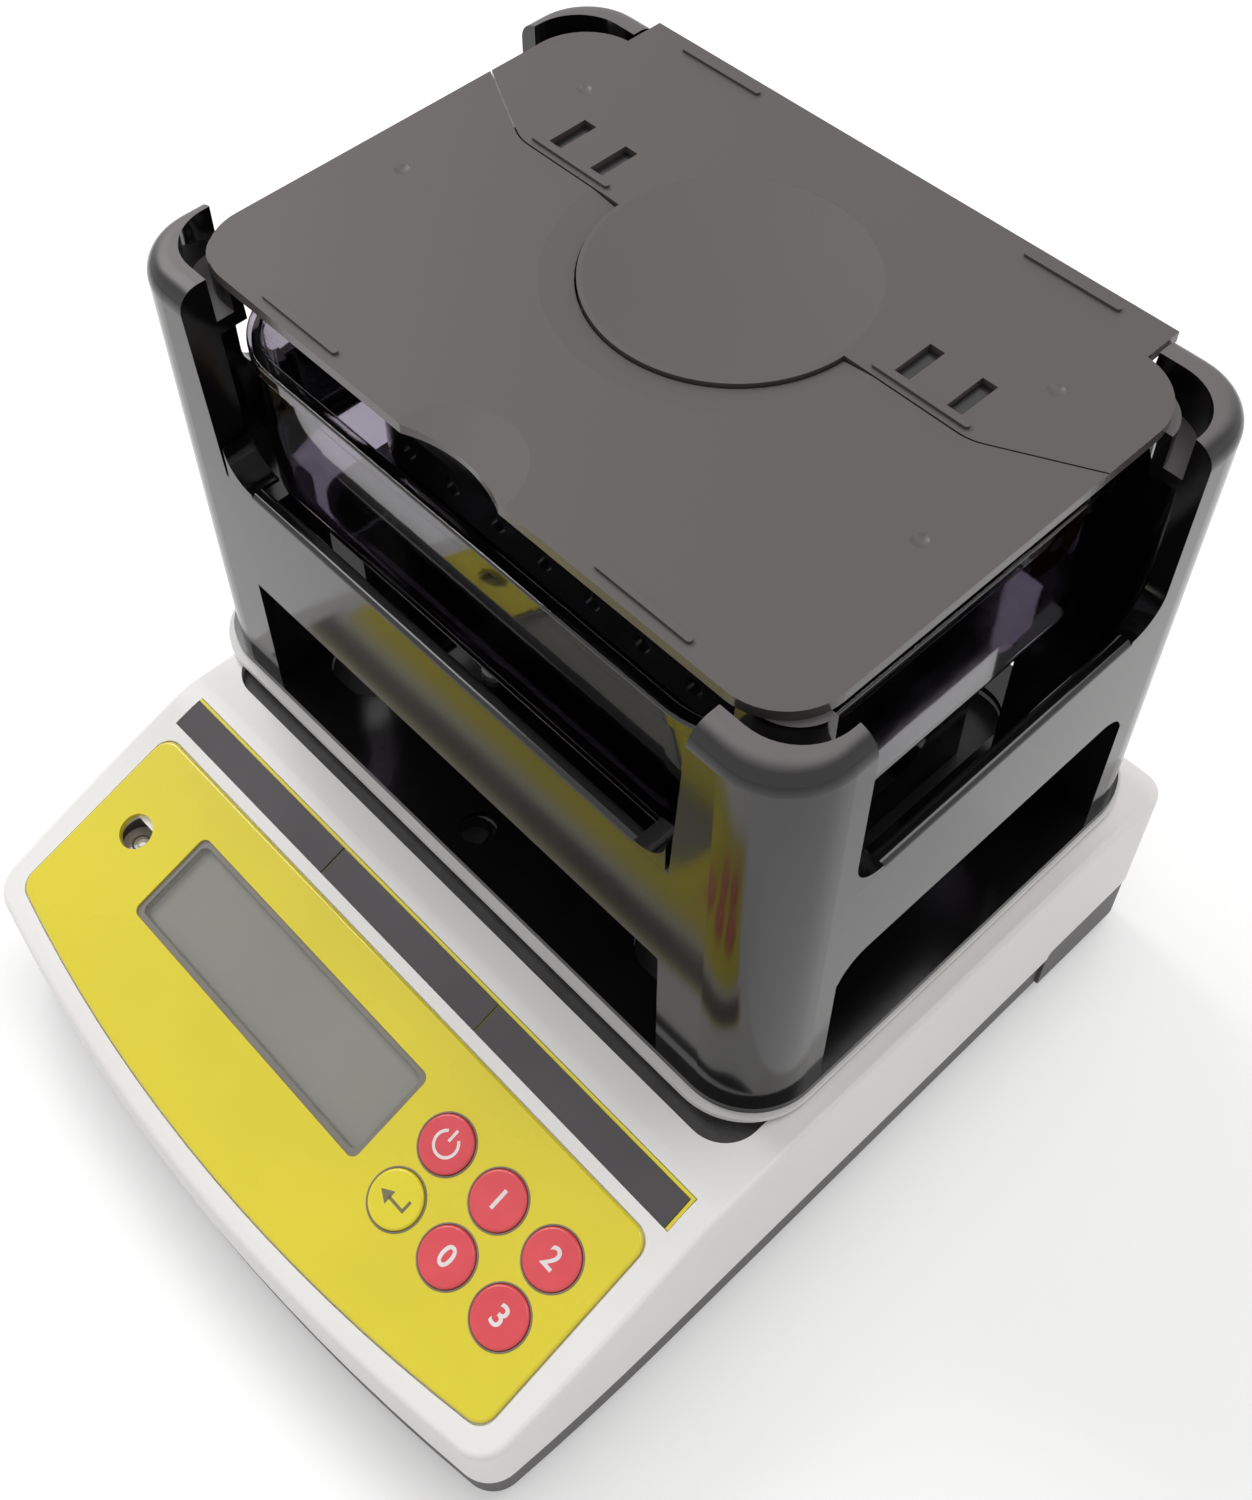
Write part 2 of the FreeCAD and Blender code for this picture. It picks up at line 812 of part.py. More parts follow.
def display_module():
    """Liquid-crystal glass on its carrier, standing on the keypad board."""
    x = middle_span(display_centre_x, display_module_width)
    s = middle_span(-display_centre_row, display_module_height)
    carrier = block(x, s, (-keypad_board_depth, -housing_wall))
    high = display_glass_rise - housing_wall
    glass = display_block(-display_bezel_width - fit_gap, (-housing_wall, high))
    return on_slope(fuse_all([carrier, glass]))


def level_vial():
    """Round bubble level, held upright below its window in the panel."""
    y = level_place()[0]
    top = vial_top()
    return post(level_x, y, (top - level_vial_height, top), level_vial_radius)


def level_holder():
    """Cup that holds the vial under the cover."""
    y = level_place()[0]
    top = vial_top()
    low = top - level_vial_height
    outer = level_vial_radius + fit_gap + level_holder_wall
    cup = post(level_x, y, (low - level_holder_wall, housing_top), outer)
    below = housing_form(housing_wall, base_floor_top, housing_top - housing_wall)
    cup = cup.common(below)
    return cup.cut(post(level_x, y, (low, housing_top), level_vial_radius + fit_gap / 2))


def keypad_board_block():
    x = (-keypad_board_half_width, keypad_board_half_width)
    s = (-keypad_board_front, -keypad_board_rear)
    z = (-keypad_board_depth - board_thickness, -keypad_board_depth)
    return on_slope(block(x, s, z))


def keypad_board():
    """Circuit board under the slope, with a hole round the level's cup."""
    y = level_place()[0]
    outer = level_vial_radius + 2 * fit_gap + level_holder_wall
    return keypad_board_block().cut(post(level_x, y, (base_floor_top, housing_top), outer))


def key_switches():
    """Push switches on the keypad board, one under each key."""
    switches = []
    low = -keypad_board_depth
    for x, s in key_places():
        case = block(middle_span(x, switch_size), middle_span(s, switch_size), (low, low + switch_height))
        top = low + switch_height + switch_plunger_radius / 2
        plunger = post(x, s, (low + switch_height / 2, top), switch_plunger_radius)
        switches.append(on_slope(fuse_all([case, plunger])))
    return Part.makeCompound(switches)


def housing_screws():
    screws = []
    low = foot_lift + screw_hole_gap
    for x, y in cover_screw_places():
        head = post(x, y, (low, low + screw_head_height), screw_head_radius)
        shank = post(x, y, (low, low + screw_length), screw_radius)
        screws.append(fuse_all([head, shank]))
    return Part.makeCompound(screws)


def foot_wheel(x, y):
    """Knurled wheel and threaded stem of one levelling foot."""
    z = (foot_pad_height, foot_pad_height + foot_height)
    wheel = post(x, y, z, foot_radius)
    grips = []
    for i in range(foot_grip_count):
        angle = 2 * math.pi * i / foot_grip_count
        grip_x = x + foot_radius * math.cos(angle)
        grip_y = y + foot_radius * math.sin(angle)
        grips.append(post(grip_x, grip_y, (z[0] - overrun, z[1] + overrun), foot_grip_radius))
    wheel = wheel.cut(Part.makeCompound(grips))
    stem = post(x, y, (z[0], z[1] + foot_stem_length), foot_stem_radius)
    return fuse_all([wheel, stem])


def foot_pad(x, y):
    return post(x, y, (0, foot_pad_height), foot_pad_radius)


def battery():
    """Rechargeable battery with two terminals."""
    span = battery_span()
    high = base_floor_top + battery_height
    body = block(battery_x, span, (base_floor_top, high))
    terminals = []
    for share in terminal_shares:
        x = battery_x[0] + share * (battery_x[1] - battery_x[0])
        y = (span[1] - 4 * battery_rib, span[1] - battery_rib)
        terminals.append(block(middle_span(x, 2 * battery_rib), y, (high, high + battery_rib)))
    return fuse_all([body] + terminals)


def main_board():
    z = (main_board_height, main_board_height + board_thickness)
    return block(main_board_x, main_board_span(), z)


def board_parts():
    """Chips, a shielded converter, two capacitors and cable headers on the main board."""
    low = main_board_height + board_thickness
    span = main_board_span()
    width = main_board_x[1] - main_board_x[0]
    pieces = []
    chip_shares = [(0.2, 0.3, 0.12, 0.4), (0.42, 0.3, 0.1, 0.3), (0.88, 0.35, 0.16, 0.5)]
    chip_rise_shares = [1.2, 1.2, 2.6]
    for shares, rise in zip(chip_shares, chip_rise_shares):
        x = middle_span(main_board_x[0] + shares[0] * width, shares[2] * width)
        y = middle_span(span[0] + shares[1] * main_board_depth, shares[3] * main_board_depth)
        pieces.append(block(x, y, (low, low + rise * board_thickness)))
    for share in capacitor_shares:
        place = (main_board_x[0] + share * width, span[0] + main_board_depth * capacitor_depth_share)
        pieces.append(post(place[0], place[1], (low, low + 5 * board_thickness), 2 * board_thickness))
    return Part.makeCompound(pieces)


def dc_jack():
    """Power socket at the back, with its round mouth and centre pin."""
    centre = socket_heights()[0]
    rear = rear_y - housing_wall
    low = main_board_height + board_thickness
    body = block(middle_span(jack_x, jack_width), (rear - jack_length, rear), (low, low + jack_height))
    mouth = rear_y - socket_setback
    axis = Vec(0, 1, 0)
    start = Vec(jack_x, rear - overrun, centre)
    barrel = Part.makeCylinder(jack_barrel_radius, mouth - rear + overrun, start, axis)
    start = Vec(jack_x, mouth - jack_bore_depth, centre)
    bore = Part.makeCylinder(jack_bore_radius, jack_bore_depth + overrun, start, axis)
    pin_start = Vec(jack_x, mouth - jack_bore_depth - overrun, centre)
    pin = Part.makeCylinder(jack_pin_radius, jack_bore_depth, pin_start, axis)
    return fuse_all([fuse_all([body, barrel]).cut(bore), pin])


def serial_port():
    """Nine-pin data socket at the back, with its two hexagon nuts."""
    centre = socket_heights()[1]
    rear = rear_y - housing_wall
    axis = Vec(0, 1, 0)
    body_z = middle_span(centre, port_height)
    body = block(middle_span(port_x, port_width), (rear - port_length, rear), body_z)
    mouth = rear_y - socket_setback
    x = middle_span(port_x, port_shell_width)
    z = middle_span(centre, port_shell_height)
    foot = 2 * port_shell_wall
    corners = [(x[0] + foot, z[0]), (x[1] - foot, z[0]), (x[1], z[1]), (x[0], z[1])]
    wire = outline(corners, [port_shell_radius] * 4, facing(rear - overrun))
    shell = Part.Face(wire).extrude(Vec(0, mouth - rear + overrun, 0))
    wall = port_shell_wall
    inner = [(corners[0][0] + wall, z[0] + wall), (corners[1][0] - wall, z[0] + wall),
             (x[1] - wall, z[1] - wall), (x[0] + wall, z[1] - wall)]
    wire = outline(inner, [port_shell_radius - wall] * 4, facing(rear - overrun))
    hollow = Part.Face(wire).extrude(Vec(0, mouth - rear + 2 * overrun, 0))
    insert = Part.Face(outline(inner, [port_shell_radius - wall] * 4, facing(rear - overrun)))
    insert = insert.extrude(Vec(0, overrun + (mouth - rear) / 2, 0))
    nuts = []
    for side in (-1, 1):
        place = Vec(port_x + side * port_nut_offset, rear - overrun, centre)
        nuts.append(Part.makeCylinder(port_nut_radius, mouth - rear + overrun, place, axis))
    return fuse_all([body, shell.cut(hollow), insert] + nuts)


def recess_mat():
    """Black grained mat on the recess floor."""
    x, y = span_recess(-mat_gap)
    mat = rounded_block(x, y, (recess_floor, mat_top), recess_radius - mat_gap)
    holes = [post(x, y, (recess_floor - overrun, mat_top + overrun), post_radius + post_hole_gap)
             for x, y in spider_places()]
    return mat.cut(Part.makeCompound(holes))


def load_cell():
    """Aluminium bending beam with its double-hole cut-out."""
    x = middle_span(frame_offset, cell_length)
    y = middle_span(frame_centre_y, cell_width)
    beam = block(x, y, (cell_bottom, cell_bottom + cell_height))
    middle = cell_bottom + cell_height / 2
    cuts = []
    for side in (-1, 1):
        place = Vec(frame_offset + side * cell_hole_pitch / 2, y[0] - overrun, middle)
        cuts.append(Part.makeCylinder(cell_hole_radius, cell_width + 2 * overrun, place, Vec(0, 1, 0)))
    cuts.append(block(middle_span(frame_offset, cell_hole_pitch), (y[0] - overrun, y[1] + overrun),
                      middle_span(middle, cell_slot)))
    for place_x, place_y in cell_screw_places():
        hole = (cell_bottom - overrun, cell_bottom + cell_height + overrun)
        cuts.append(post(place_x, place_y, hole, screw_radius + screw_hole_gap))
    return beam.cut(fuse_all(cuts))


def cell_screw_places():
    x = frame_offset - cell_length / 2 + cell_seat_length / 2
    return [(x + i * cell_screw_pitch / 2, frame_centre_y) for i in (-1, 1)]


def load_cell_seat():
    """Block that lifts the beam's fixed end off the base floor."""
    start = frame_offset - cell_length / 2
    seat = block((start, start + cell_seat_length), middle_span(frame_centre_y, cell_width),
                 (base_floor_top, cell_bottom))
    holes = [post(x, y, (base_floor_top - overrun, cell_bottom + overrun), screw_radius + running_gap)
             for x, y in cell_screw_places()]
    return seat.cut(Part.makeCompound(holes))


def load_cell_screws():
    screws = []
    top = cell_bottom + cell_height
    for x, y in cell_screw_places():
        head = post(x, y, (top, top + screw_head_height), screw_head_radius)
        shank = post(x, y, (base_floor_top + overrun, top + screw_head_height / 2), screw_radius)
        screws.append(fuse_all([head, shank]))
    return Part.makeCompound(screws)


def pan_spider():
    """Aluminium spider: it stands on the beam's free end and lifts the pan on four posts."""
    cx = frame_offset
    cy = frame_centre_y
    bar = (spider_bottom + spider_block_height, spider_bottom + spider_block_height + spider_thickness)
    outer = rounded_block((cx - spider_half_width, cx + spider_half_width),
                          (cy - spider_half_depth, cy + spider_half_depth), bar, spider_bar / 2)
    inner_x = (cx - spider_half_width + spider_bar, cx + spider_half_width - spider_bar)
    inner_y = (cy - spider_half_depth + spider_bar, cy + spider_half_depth - spider_bar)
    through = (bar[0] - overrun, bar[1] + overrun)
    outer = outer.cut(rounded_block(inner_x, inner_y, through, spider_bar / 3))
    cross_x = (inner_x[0] - spider_bar / 2, inner_x[1] + spider_bar / 2)
    cross = block(cross_x, middle_span(cy, cell_width), bar)
    end_x = (cx + spider_half_width - spider_block_length, cx + spider_half_width)
    foot = block(end_x, middle_span(cy, cell_width), (spider_bottom, bar[1]))
    posts = [post(x, y, (bar[0], plate_bottom), post_radius) for x, y in spider_places()]
    pilots = [post(x, y, (plate_bottom - screw_length, plate_bottom + overrun), screw_radius + running_gap)
              for x, y in spider_places()]
    return fuse_all([outer, cross, foot] + posts).cut(Part.makeCompound(pilots))


def leg_holes(z):
    holes = []
    y = middle_span(frame_centre_y, leg_hole_depth)
    for side in (-1, 1):
        x = middle_span(frame_offset + side * leg_hole_centre, leg_hole_width)
        holes.append(rounded_block(x, y, z, leg_hole_radius))
    return holes


def screw_holes(z):
    return [post(x, y, z, screw_radius + screw_hole_gap) for x, y in spider_places()]


def frame_span(grow_x, grow_front, grow_rear):
    x = middle_span(frame_offset, frame_width + 2 * grow_x)
    return x, (frame_front - grow_front, frame_rear + grow_rear)


def pan_plate():
    """Thin pale pan under the frame, seen as a light line round its foot."""
    x, y = frame_span(plate_side_lip, plate_front_lip, plate_rear_lip)
    z = (plate_bottom, plate_top)
    plate = rounded_block(x, y, z, plate_radius)
    through = (z[0] - overrun, z[1] + overrun)
    return plate.cut(Part.makeCompound(leg_holes(through) + screw_holes(through) + [front_hole(through)]))


def front_hole(z):
    """Round hole in the middle of the front edge of the pan and of the frame's floor."""
    return post(frame_offset, frame_front + frame_hole_inset, z, frame_hole_radius)


def frame_corner_blocks():
    """Four closed blocks that stiffen the posts up to the tank's floor."""
    x, y = frame_span(0, 0, 0)
    z = (plate_top, housing_top + post_block_top)
    whole = rounded_block(x, y, z, frame_radius)
    gap_x = (x[0] + block_width, x[1] - block_width)
    gap_y = (y[0] + post_depth, y[1] - post_depth)
    across = block((x[0] - overrun, x[1] + overrun), gap_y, (z[0] - overrun, z[1] + overrun))
    along = block(gap_x, (y[0] - overrun, y[1] + overrun), (z[0] - overrun, z[1] + overrun))
    return whole.cut(across).cut(along)


def lid_pocket(inset, z):
    """Space inside the posts, drawn in by inset."""
    x, y = frame_span(-post_arm_side - inset, -post_arm_front - inset, -post_arm_front - inset)
    return rounded_block(x, y, z, frame_radius - post_arm_front / 2 - inset / 2)


def frame_arms():
    """Upper posts: angle-shaped arms with a grooved ledge for the lid."""
    x, y = frame_span(0, 0, 0)
    top = housing_top + frame_height
    low = housing_top + post_block_top
    whole = rounded_block(x, y, (low, top), frame_radius)
    whole = whole.makeFillet(post_top_radius, rim_edges(whole, top - find_margin))
    arms = whole.cut(lid_pocket(0, (low - overrun, top + overrun)))
    ledge_top = lid_bottom
    ledge = lid_pocket(-running_gap, (ledge_top - lid_ledge_height, ledge_top))
    ledge = ledge.cut(lid_pocket(lid_ledge_reach, (low, top)))
    groove = (ledge_top - lid_groove_depth, top)
    ledge = ledge.cut(lid_pocket(0, groove).cut(lid_pocket(lid_groove_width, groove)))
    arms = fuse_all([arms, ledge])
    across = block((x[0] - overrun, x[1] + overrun), (y[0] + post_depth, y[1] - post_depth),
                   (low - overrun, top + overrun))
    return arms.cut(across).cut(window_gap())


def window_gap():
    """Space between the upper posts, front and back, wider at the top than at the sill."""
    x, y = frame_span(0, overrun, overrun)
    low = housing_top + post_block_top
    top = housing_top + frame_height
    lean = (post_width_at_sill - post_width) / (top - low)
    low_width = post_width_at_sill + overrun * lean
    top_width = post_width - overrun * lean
    corners = [(x[0] + low_width, low - overrun), (x[1] - low_width, low - overrun),
               (x[1] - top_width, top + overrun), (x[0] + top_width, top + overrun)]
    return Part.Face(outline(corners, [0] * 4, facing(y[0]))).extrude(Vec(0, y[1] - y[0], 0))


def frame_band():
    """Crossbars on all four sides between the lower openings and the windows."""
    x, y = frame_span(0, 0, 0)
    z = (housing_top + crossbar_bottom, housing_top + sill_height)
    outer = rounded_block(x, y, z, frame_radius)
    inner_x, inner_y = frame_span(-frame_wall, -frame_wall, -frame_wall)
    inner = rounded_block(inner_x, inner_y, (z[0] - overrun, z[1] + overrun), frame_radius - frame_wall)
    return outer.cut(inner).cut(side_arch())


def side_arch():
    """Room over the side openings, which rise above the front one and have rounded corners."""
    x, y = frame_span(overrun, -post_depth, -post_depth)
    low = housing_top + crossbar_bottom - overrun
    top = housing_top + side_opening_top
    corners = [(y[0], low), (y[1], low), (y[1], top), (y[0], top)]
    radii = [0, 0, side_opening_radius, side_opening_radius]
    return Part.Face(outline(corners, radii, upright(x[0]))).extrude(Vec(x[1] - x[0], 0, 0))


def window_gusset(x_side, y_side, along_x):
    """Quarter-round web where a sill runs up into a post."""
    x, y = frame_span(0, 0, 0)
    r = window_corner_radius
    z = housing_top + sill_height
    if along_x:
        start = x[0] + post_width_at_sill if x_side < 0 else x[1] - post_width_at_sill
        wall = y[0] if y_side < 0 else y[1] - post_arm_front
        web = block(sorted((start, start - x_side * r)), (wall, wall + post_arm_front), (z - overrun, z + r))
        centre = Vec(start - x_side * r, wall - overrun, z + r)
        return web.cut(Part.makeCylinder(r, post_arm_front + 2 * overrun, centre, Vec(0, 1, 0)))
    start = y[0] + post_depth if y_side < 0 else y[1] - post_depth
    wall = x[0] if x_side < 0 else x[1] - post_arm_side
    web = block((wall, wall + post_arm_side), sorted((start, start - y_side * r)), (z - overrun, z + r))
    centre = Vec(wall - overrun, start - y_side * r, z + r)
    return web.cut(Part.makeCylinder(r, post_arm_side + 2 * overrun, centre, Vec(1, 0, 0)))


def weighing_frame():
    """Black moulded frame: floor, four posts, crossbars and open windows on every side."""
    x, y = frame_span(0, 0, 0)
    flange_x, flange_y = frame_span(foot_flange, foot_flange, 0)
    floor = rounded_block(flange_x, flange_y, (plate_top, frame_floor_top), frame_radius + foot_flange)
    band = frame_band()
    band = band.makeFillet(sill_radius, rim_edges(band, housing_top + sill_height - find_margin))
    pieces = [floor, frame_corner_blocks(), frame_arms(), band]
    for x_side in (-1, 1):
        for y_side in (-1, 1):
            pieces.append(window_gusset(x_side, y_side, True))
            pieces.append(window_gusset(x_side, y_side, False))
    solid = fuse_all(pieces)
    through = (plate_top - overrun, frame_floor_top + overrun)
    cuts = leg_holes(through) + screw_holes(through) + [front_hole(through)]
    return solid.cut(Part.makeCompound(cuts))


def frame_screws():
    """Screws through the frame's floor and the pan into the spider's posts."""
    screws = []
    for x, y in spider_places():
        head_z = (frame_floor_top, frame_floor_top + frame_screw_head_height)
        head = post(x, y, head_z, frame_screw_head_radius)
        shank_z = (plate_bottom - screw_length + overrun, frame_floor_top + overrun)
        shank = post(x, y, shank_z, screw_radius)
        screws.append(fuse_all([head, shank]))
    return Part.makeCompound(screws)


def seam_points(gap):
    """How far back the seam lies at the lid's sides and beside the dish, moved by gap."""
    side_y = frame_rear - seam_side_from_rear + gap
    seam_y = frame_rear - seam_from_rear + gap
    return side_y, seam_y


def dish_centre_y():
    return frame_rear - dish_from_rear


def front_plate():
    """Lid over the tank: thumb notch, scoop, ribs, dimples and a bevel round the dish."""
    side_y, seam_y = seam_points(-seam_gap / 2)
    cx = frame_offset
    half = lid_half_width
    points = [(cx - half, lid_front), (cx + half, lid_front), (cx + half, side_y),
              (cx + seam_break_x, seam_y), (cx - seam_break_x, seam_y), (cx - half, side_y)]
    radii = [lid_front_radius, lid_front_radius, 0, rib_length / 2, rib_length / 2, 0]
    plate = prism(points, radii, (lid_bottom, lid_top))
    cy = dish_centre_y()
    reach = dish_seam_radius + seam_gap / 2
    plate = plate.cut(post(cx, cy, (lid_bottom - overrun, lid_top + overrun), reach))
    bevel = Part.makeCone(reach, reach + ring_width, ring_drop, Vec(cx, cy, lid_top - ring_drop))
    plate = plate.cut(bevel)
    notch_radius = (notch_half_width ** 2 + notch_depth ** 2) / (2 * notch_depth)
    plate = plate.cut(post(cx, lid_front + notch_depth - notch_radius,
                           (lid_bottom - overrun, lid_top + overrun), notch_radius))
    plate = plate.cut(shallow_bowl(cx, lid_front, lid_top, scoop_radius, scoop_depth))
    plate = fuse_all([plate] + lid_ribs(lid_front + rib_front_inset))
    cuts = []
    for side in (-1, 1):
        place = (cx + side * dimple_front_x, frame_rear - dimple_front_from_rear)
        cuts.append(shallow_bowl(place[0], place[1], lid_top, dimple_radius, dimple_depth))
    return plate.cut(Part.makeCompound(cuts))


def shallow_bowl(x, y, z, radius, depth):
    """Ball that cuts a bowl of this radius and depth into a level face."""
    ball = (radius ** 2 + depth ** 2) / (2 * depth)
    return Part.makeSphere(ball, Vec(x, y, z + ball - depth))


def lid_ribs(y):
    ribs = []
    for side in (-1, 1):
        x = middle_span(frame_offset + side * rib_x, rib_length)
        z = (lid_top - rib_height, lid_top + rib_height)
        rib = rounded_block(x, middle_span(y, rib_width), z, rib_width / 2 - running_gap)
        ribs.append(rib)
    return ribs


def rear_plate():
    """Rear lid plate with the weighing dish, the hanger slots and laps under the front plate."""
    side_y, seam_y = seam_points(seam_gap / 2)
    cx = frame_offset
    half = lid_half_width
    tongue = frame_width / 2 - post_width - lid_tongue_gap
    points = [(cx - half, side_y), (cx - seam_break_x, seam_y),
              (cx + seam_break_x, seam_y), (cx + half, side_y), (cx + half, lid_rear),
              (cx + tongue, lid_rear), (cx + tongue, frame_rear),
              (cx - tongue, frame_rear), (cx - tongue, lid_rear), (cx - half, lid_rear)]
    radii = [0, rib_length / 2, rib_length / 2, 0, lid_rear_radius, 0, 0, 0, 0, lid_rear_radius]
    plate = prism(points, radii, (lid_bottom, lid_top))
    cy = dish_centre_y()
    disc = post(cx, cy, (lid_bottom, lid_top), dish_seam_radius - seam_gap / 2)
    plate = fuse_all([plate, disc])
    plate = plate.cut(post(cx, cy, (lid_bottom - overrun, lid_top + overrun), dish_radius - running_gap))
    plate = fuse_all([plate, dish_bowl(cx, cy)] + lid_ribs(frame_rear - seam_from_rear + rib_seam_inset)
                     + lid_ribs(frame_rear - rib_rear_inset) + lid_laps(side_y, seam_y))
    cuts = []
    for side in (-1, 1):
        for slot in slot_x:
            x = middle_span(cx + side * slot, slot_width)
            y = middle_span(frame_rear - slot_from_rear, slot_length)
            cuts.append(block(x, y, (lid_bottom - overrun, lid_top + overrun)))
        place = (cx + side * dimple_rear_x, frame_rear - dimple_rear_from_rear)
        cuts.append(shallow_bowl(place[0], place[1], lid_top, dimple_radius, dimple_depth))
    return plate.cut(Part.makeCompound(cuts))


def dish_bowl(x, y):
    """Concave weighing dish, turned about its own axis."""
    inner_ball = (dish_radius ** 2 + dish_depth ** 2) / (2 * dish_depth)
    inner = post(x, y, (lid_top - dish_depth - dish_wall, lid_top), dish_radius)
    hollow = Part.makeSphere(inner_ball, Vec(x, y, lid_top + inner_ball - dish_depth))
    outer = Part.makeSphere(inner_ball + dish_wall, Vec(x, y, lid_top + inner_ball - dish_depth))
    return inner.cut(hollow).common(outer)


def lid_laps(side_y, seam_y):
    """Thin tabs that carry the front plate's rear edge."""
    laps = []
    for side in (-1, 1):
        x = middle_span(frame_offset + side * seam_break_x, lap_width)
        y = (seam_y - lap_reach, seam_y + lap_reach / 2)
        laps.append(block(x, y, (lid_bottom - lap_thickness, lid_bottom)))
    return laps


def hanger(side):
    """Pair of straps that carries the basket from the rear plate's slots."""
    cx = frame_offset
    y = middle_span(frame_rear - slot_from_rear, strap_depth)
    straps = []
    for slot in slot_x:
        x = middle_span(cx + side * slot, strap_width)
        straps.append(block(x, y, (basket_floor_top, lid_top - strap_recess)))
    limits = sorted([cx + side * slot for slot in slot_x])
    x = (limits[0] - strap_width / 2, limits[1] + strap_width / 2)
    bar = block(x, y, (lid_bottom - hanger_bar_height, lid_bottom))
    foot = block(x, y, (basket_floor_top, basket_floor_top + hanger_foot_height))
    return fuse_all(straps + [bar, foot])


def basket_span(inset):
    x = middle_span(frame_offset, basket_width - 2 * inset)
    return x, (frame_centre_y - basket_front + inset, frame_centre_y + basket_rear - inset)


def basket():
    """Shallow tray with round drain holes in its floor and walls."""
    z = (basket_floor_top - basket_wall, basket_floor_top - basket_wall + basket_height)
    x, y = basket_span(0)
    tray = rounded_block(x, y, z, basket_radius)
    x, y = basket_span(basket_wall)
    tray = tray.cut(rounded_block(x, y, (basket_floor_top, z[1] + overrun), basket_radius - basket_wall))
    centre_y = (y[0] + y[1]) / 2
    cuts = []
    columns = int((basket_width / 2 - basket_radius) / basket_hole_pitch)
    rows = int(((y[1] - y[0]) / 2 - basket_radius) / basket_hole_pitch)
    middle = (basket_floor_top + z[1]) / 2
    for i in range(-columns, columns + 1):
        hole_x = frame_offset + i * basket_hole_pitch
        for j in range(-rows, rows + 1, 2):
            hole_y = centre_y + j * basket_hole_pitch
            through = (z[0] - overrun, basket_floor_top + overrun)
            cuts.append(post(hole_x, hole_y, through, basket_hole_radius))
        start = Vec(hole_x, y[0] - 2 * basket_wall, middle)
        cuts.append(Part.makeCylinder(basket_hole_radius, 3 * basket_wall, start, Vec(0, 1, 0)))
        start = Vec(hole_x, y[1] - basket_wall, middle)
        cuts.append(Part.makeCylinder(basket_hole_radius, 3 * basket_wall, start, Vec(0, 1, 0)))
    for j in range(-rows, rows + 1):
        hole_y = centre_y + j * basket_hole_pitch
        for wall_x in (x[0] - 2 * basket_wall, x[1] - basket_wall):
            start = Vec(wall_x, hole_y, middle)
            cuts.append(Part.makeCylinder(basket_hole_radius, 3 * basket_wall, start, Vec(1, 0, 0)))
    return tray.cut(Part.makeCompound(cuts))


def tank_block(grow, z):
    x = middle_span(frame_offset, tank_width + 2 * grow)
    y = middle_span(frame_centre_y, tank_depth + 2 * grow)
    return rounded_block(x, y, z, tank_radius + grow)


def water_tank():
    """Clear tank with a thick rolled rim and rounded floor edges."""
    outer = tank_block(0, (tank_bottom, tank_top))
    low_edges = [e for e in outer.Edges if e.BoundBox.ZMax < tank_bottom + find_margin]
    outer = outer.makeFillet(tank_bottom_radius, low_edges)
    rim = tank_block((tank_rim_width - tank_wall) / 2, (tank_top - tank_rim_height, tank_top))
    solid = fuse_all([outer, rim])
    inner = tank_block(-tank_wall, (tank_bottom + tank_wall, tank_top + overrun))
    low_edges = [e for e in inner.Edges if e.BoundBox.ZMax < tank_bottom + tank_wall + find_margin]
    inner = inner.makeFillet(tank_bottom_radius - tank_wall / 2, low_edges)
    solid = solid.cut(inner)
    return solid.makeFillet(tank_rim_radius / 2, rim_edges(solid, tank_top - find_margin))


def tank_tabs():
    """Two round-ended lifting tabs inside the tank's end walls."""
    tabs = []
    wall = tank_width / 2 - tank_wall
    for side in (-1, 1):
        y = frame_centre_y + side * tab_from_middle
        z = tank_top - tab_drop
        low_x = frame_offset + (side * wall if side < 0 else wall - tab_thickness)
        disc = Part.makeCylinder(tab_radius, tab_thickness, Vec(low_x, y, z), Vec(1, 0, 0))
        neck = block((low_x, low_x + tab_thickness), (y - tab_radius, y + tab_radius), (z, tank_top))
        tab = fuse_all([disc, neck])
        start = Vec(low_x - overrun, y, z)
        tab = tab.cut(Part.makeCylinder(tab_hole_radius, tab_thickness + 2 * overrun, start, Vec(1, 0, 0)))
        tabs.append(tab)
    return Part.makeCompound(tabs)


def tank_stand():
    """Bridge that carries the tank: its legs pass through the pan and stand on the housing."""
    cx = frame_offset
    x = (cx - stand_half_width, cx + stand_half_width)
    y = middle_span(frame_centre_y, stand_depth)
    deck = rounded_block(x, y, (tank_bottom - stand_thickness, tank_bottom), stand_radius)
    pieces = [deck]
    leg_y = (y[0] + stand_radius, y[1] - stand_radius)
    for side in (-1, 1):
        outer = cx + side * stand_half_width
        wall = sorted((outer, outer - side * stand_leg))
        sole = sorted((outer, outer - side * stand_foot))
        leg = block(wall, leg_y, (mat_top, tank_bottom - stand_thickness / 2))
        arch_y = (leg_y[0] + stand_arch_margin, leg_y[1] - stand_arch_margin)
        arch_z = (frame_floor_top + stand_arch_margin / 2, tank_bottom - stand_arch_margin)
        corners = [(arch_y[0], arch_z[0]), (arch_y[1], arch_z[0]),
                   (arch_y[1], arch_z[1]), (arch_y[0], arch_z[1])]
        wire = outline(corners, [stand_arch_radius] * 4, upright(wall[0] - overrun))
        leg = leg.cut(Part.Face(wire).extrude(Vec(stand_leg + 2 * overrun, 0, 0)))
        pieces.append(leg)
        pieces.append(rounded_block(sole, leg_y, (mat_top, mat_top + stand_foot_height), stand_leg / 2))
    return fuse_all(pieces)


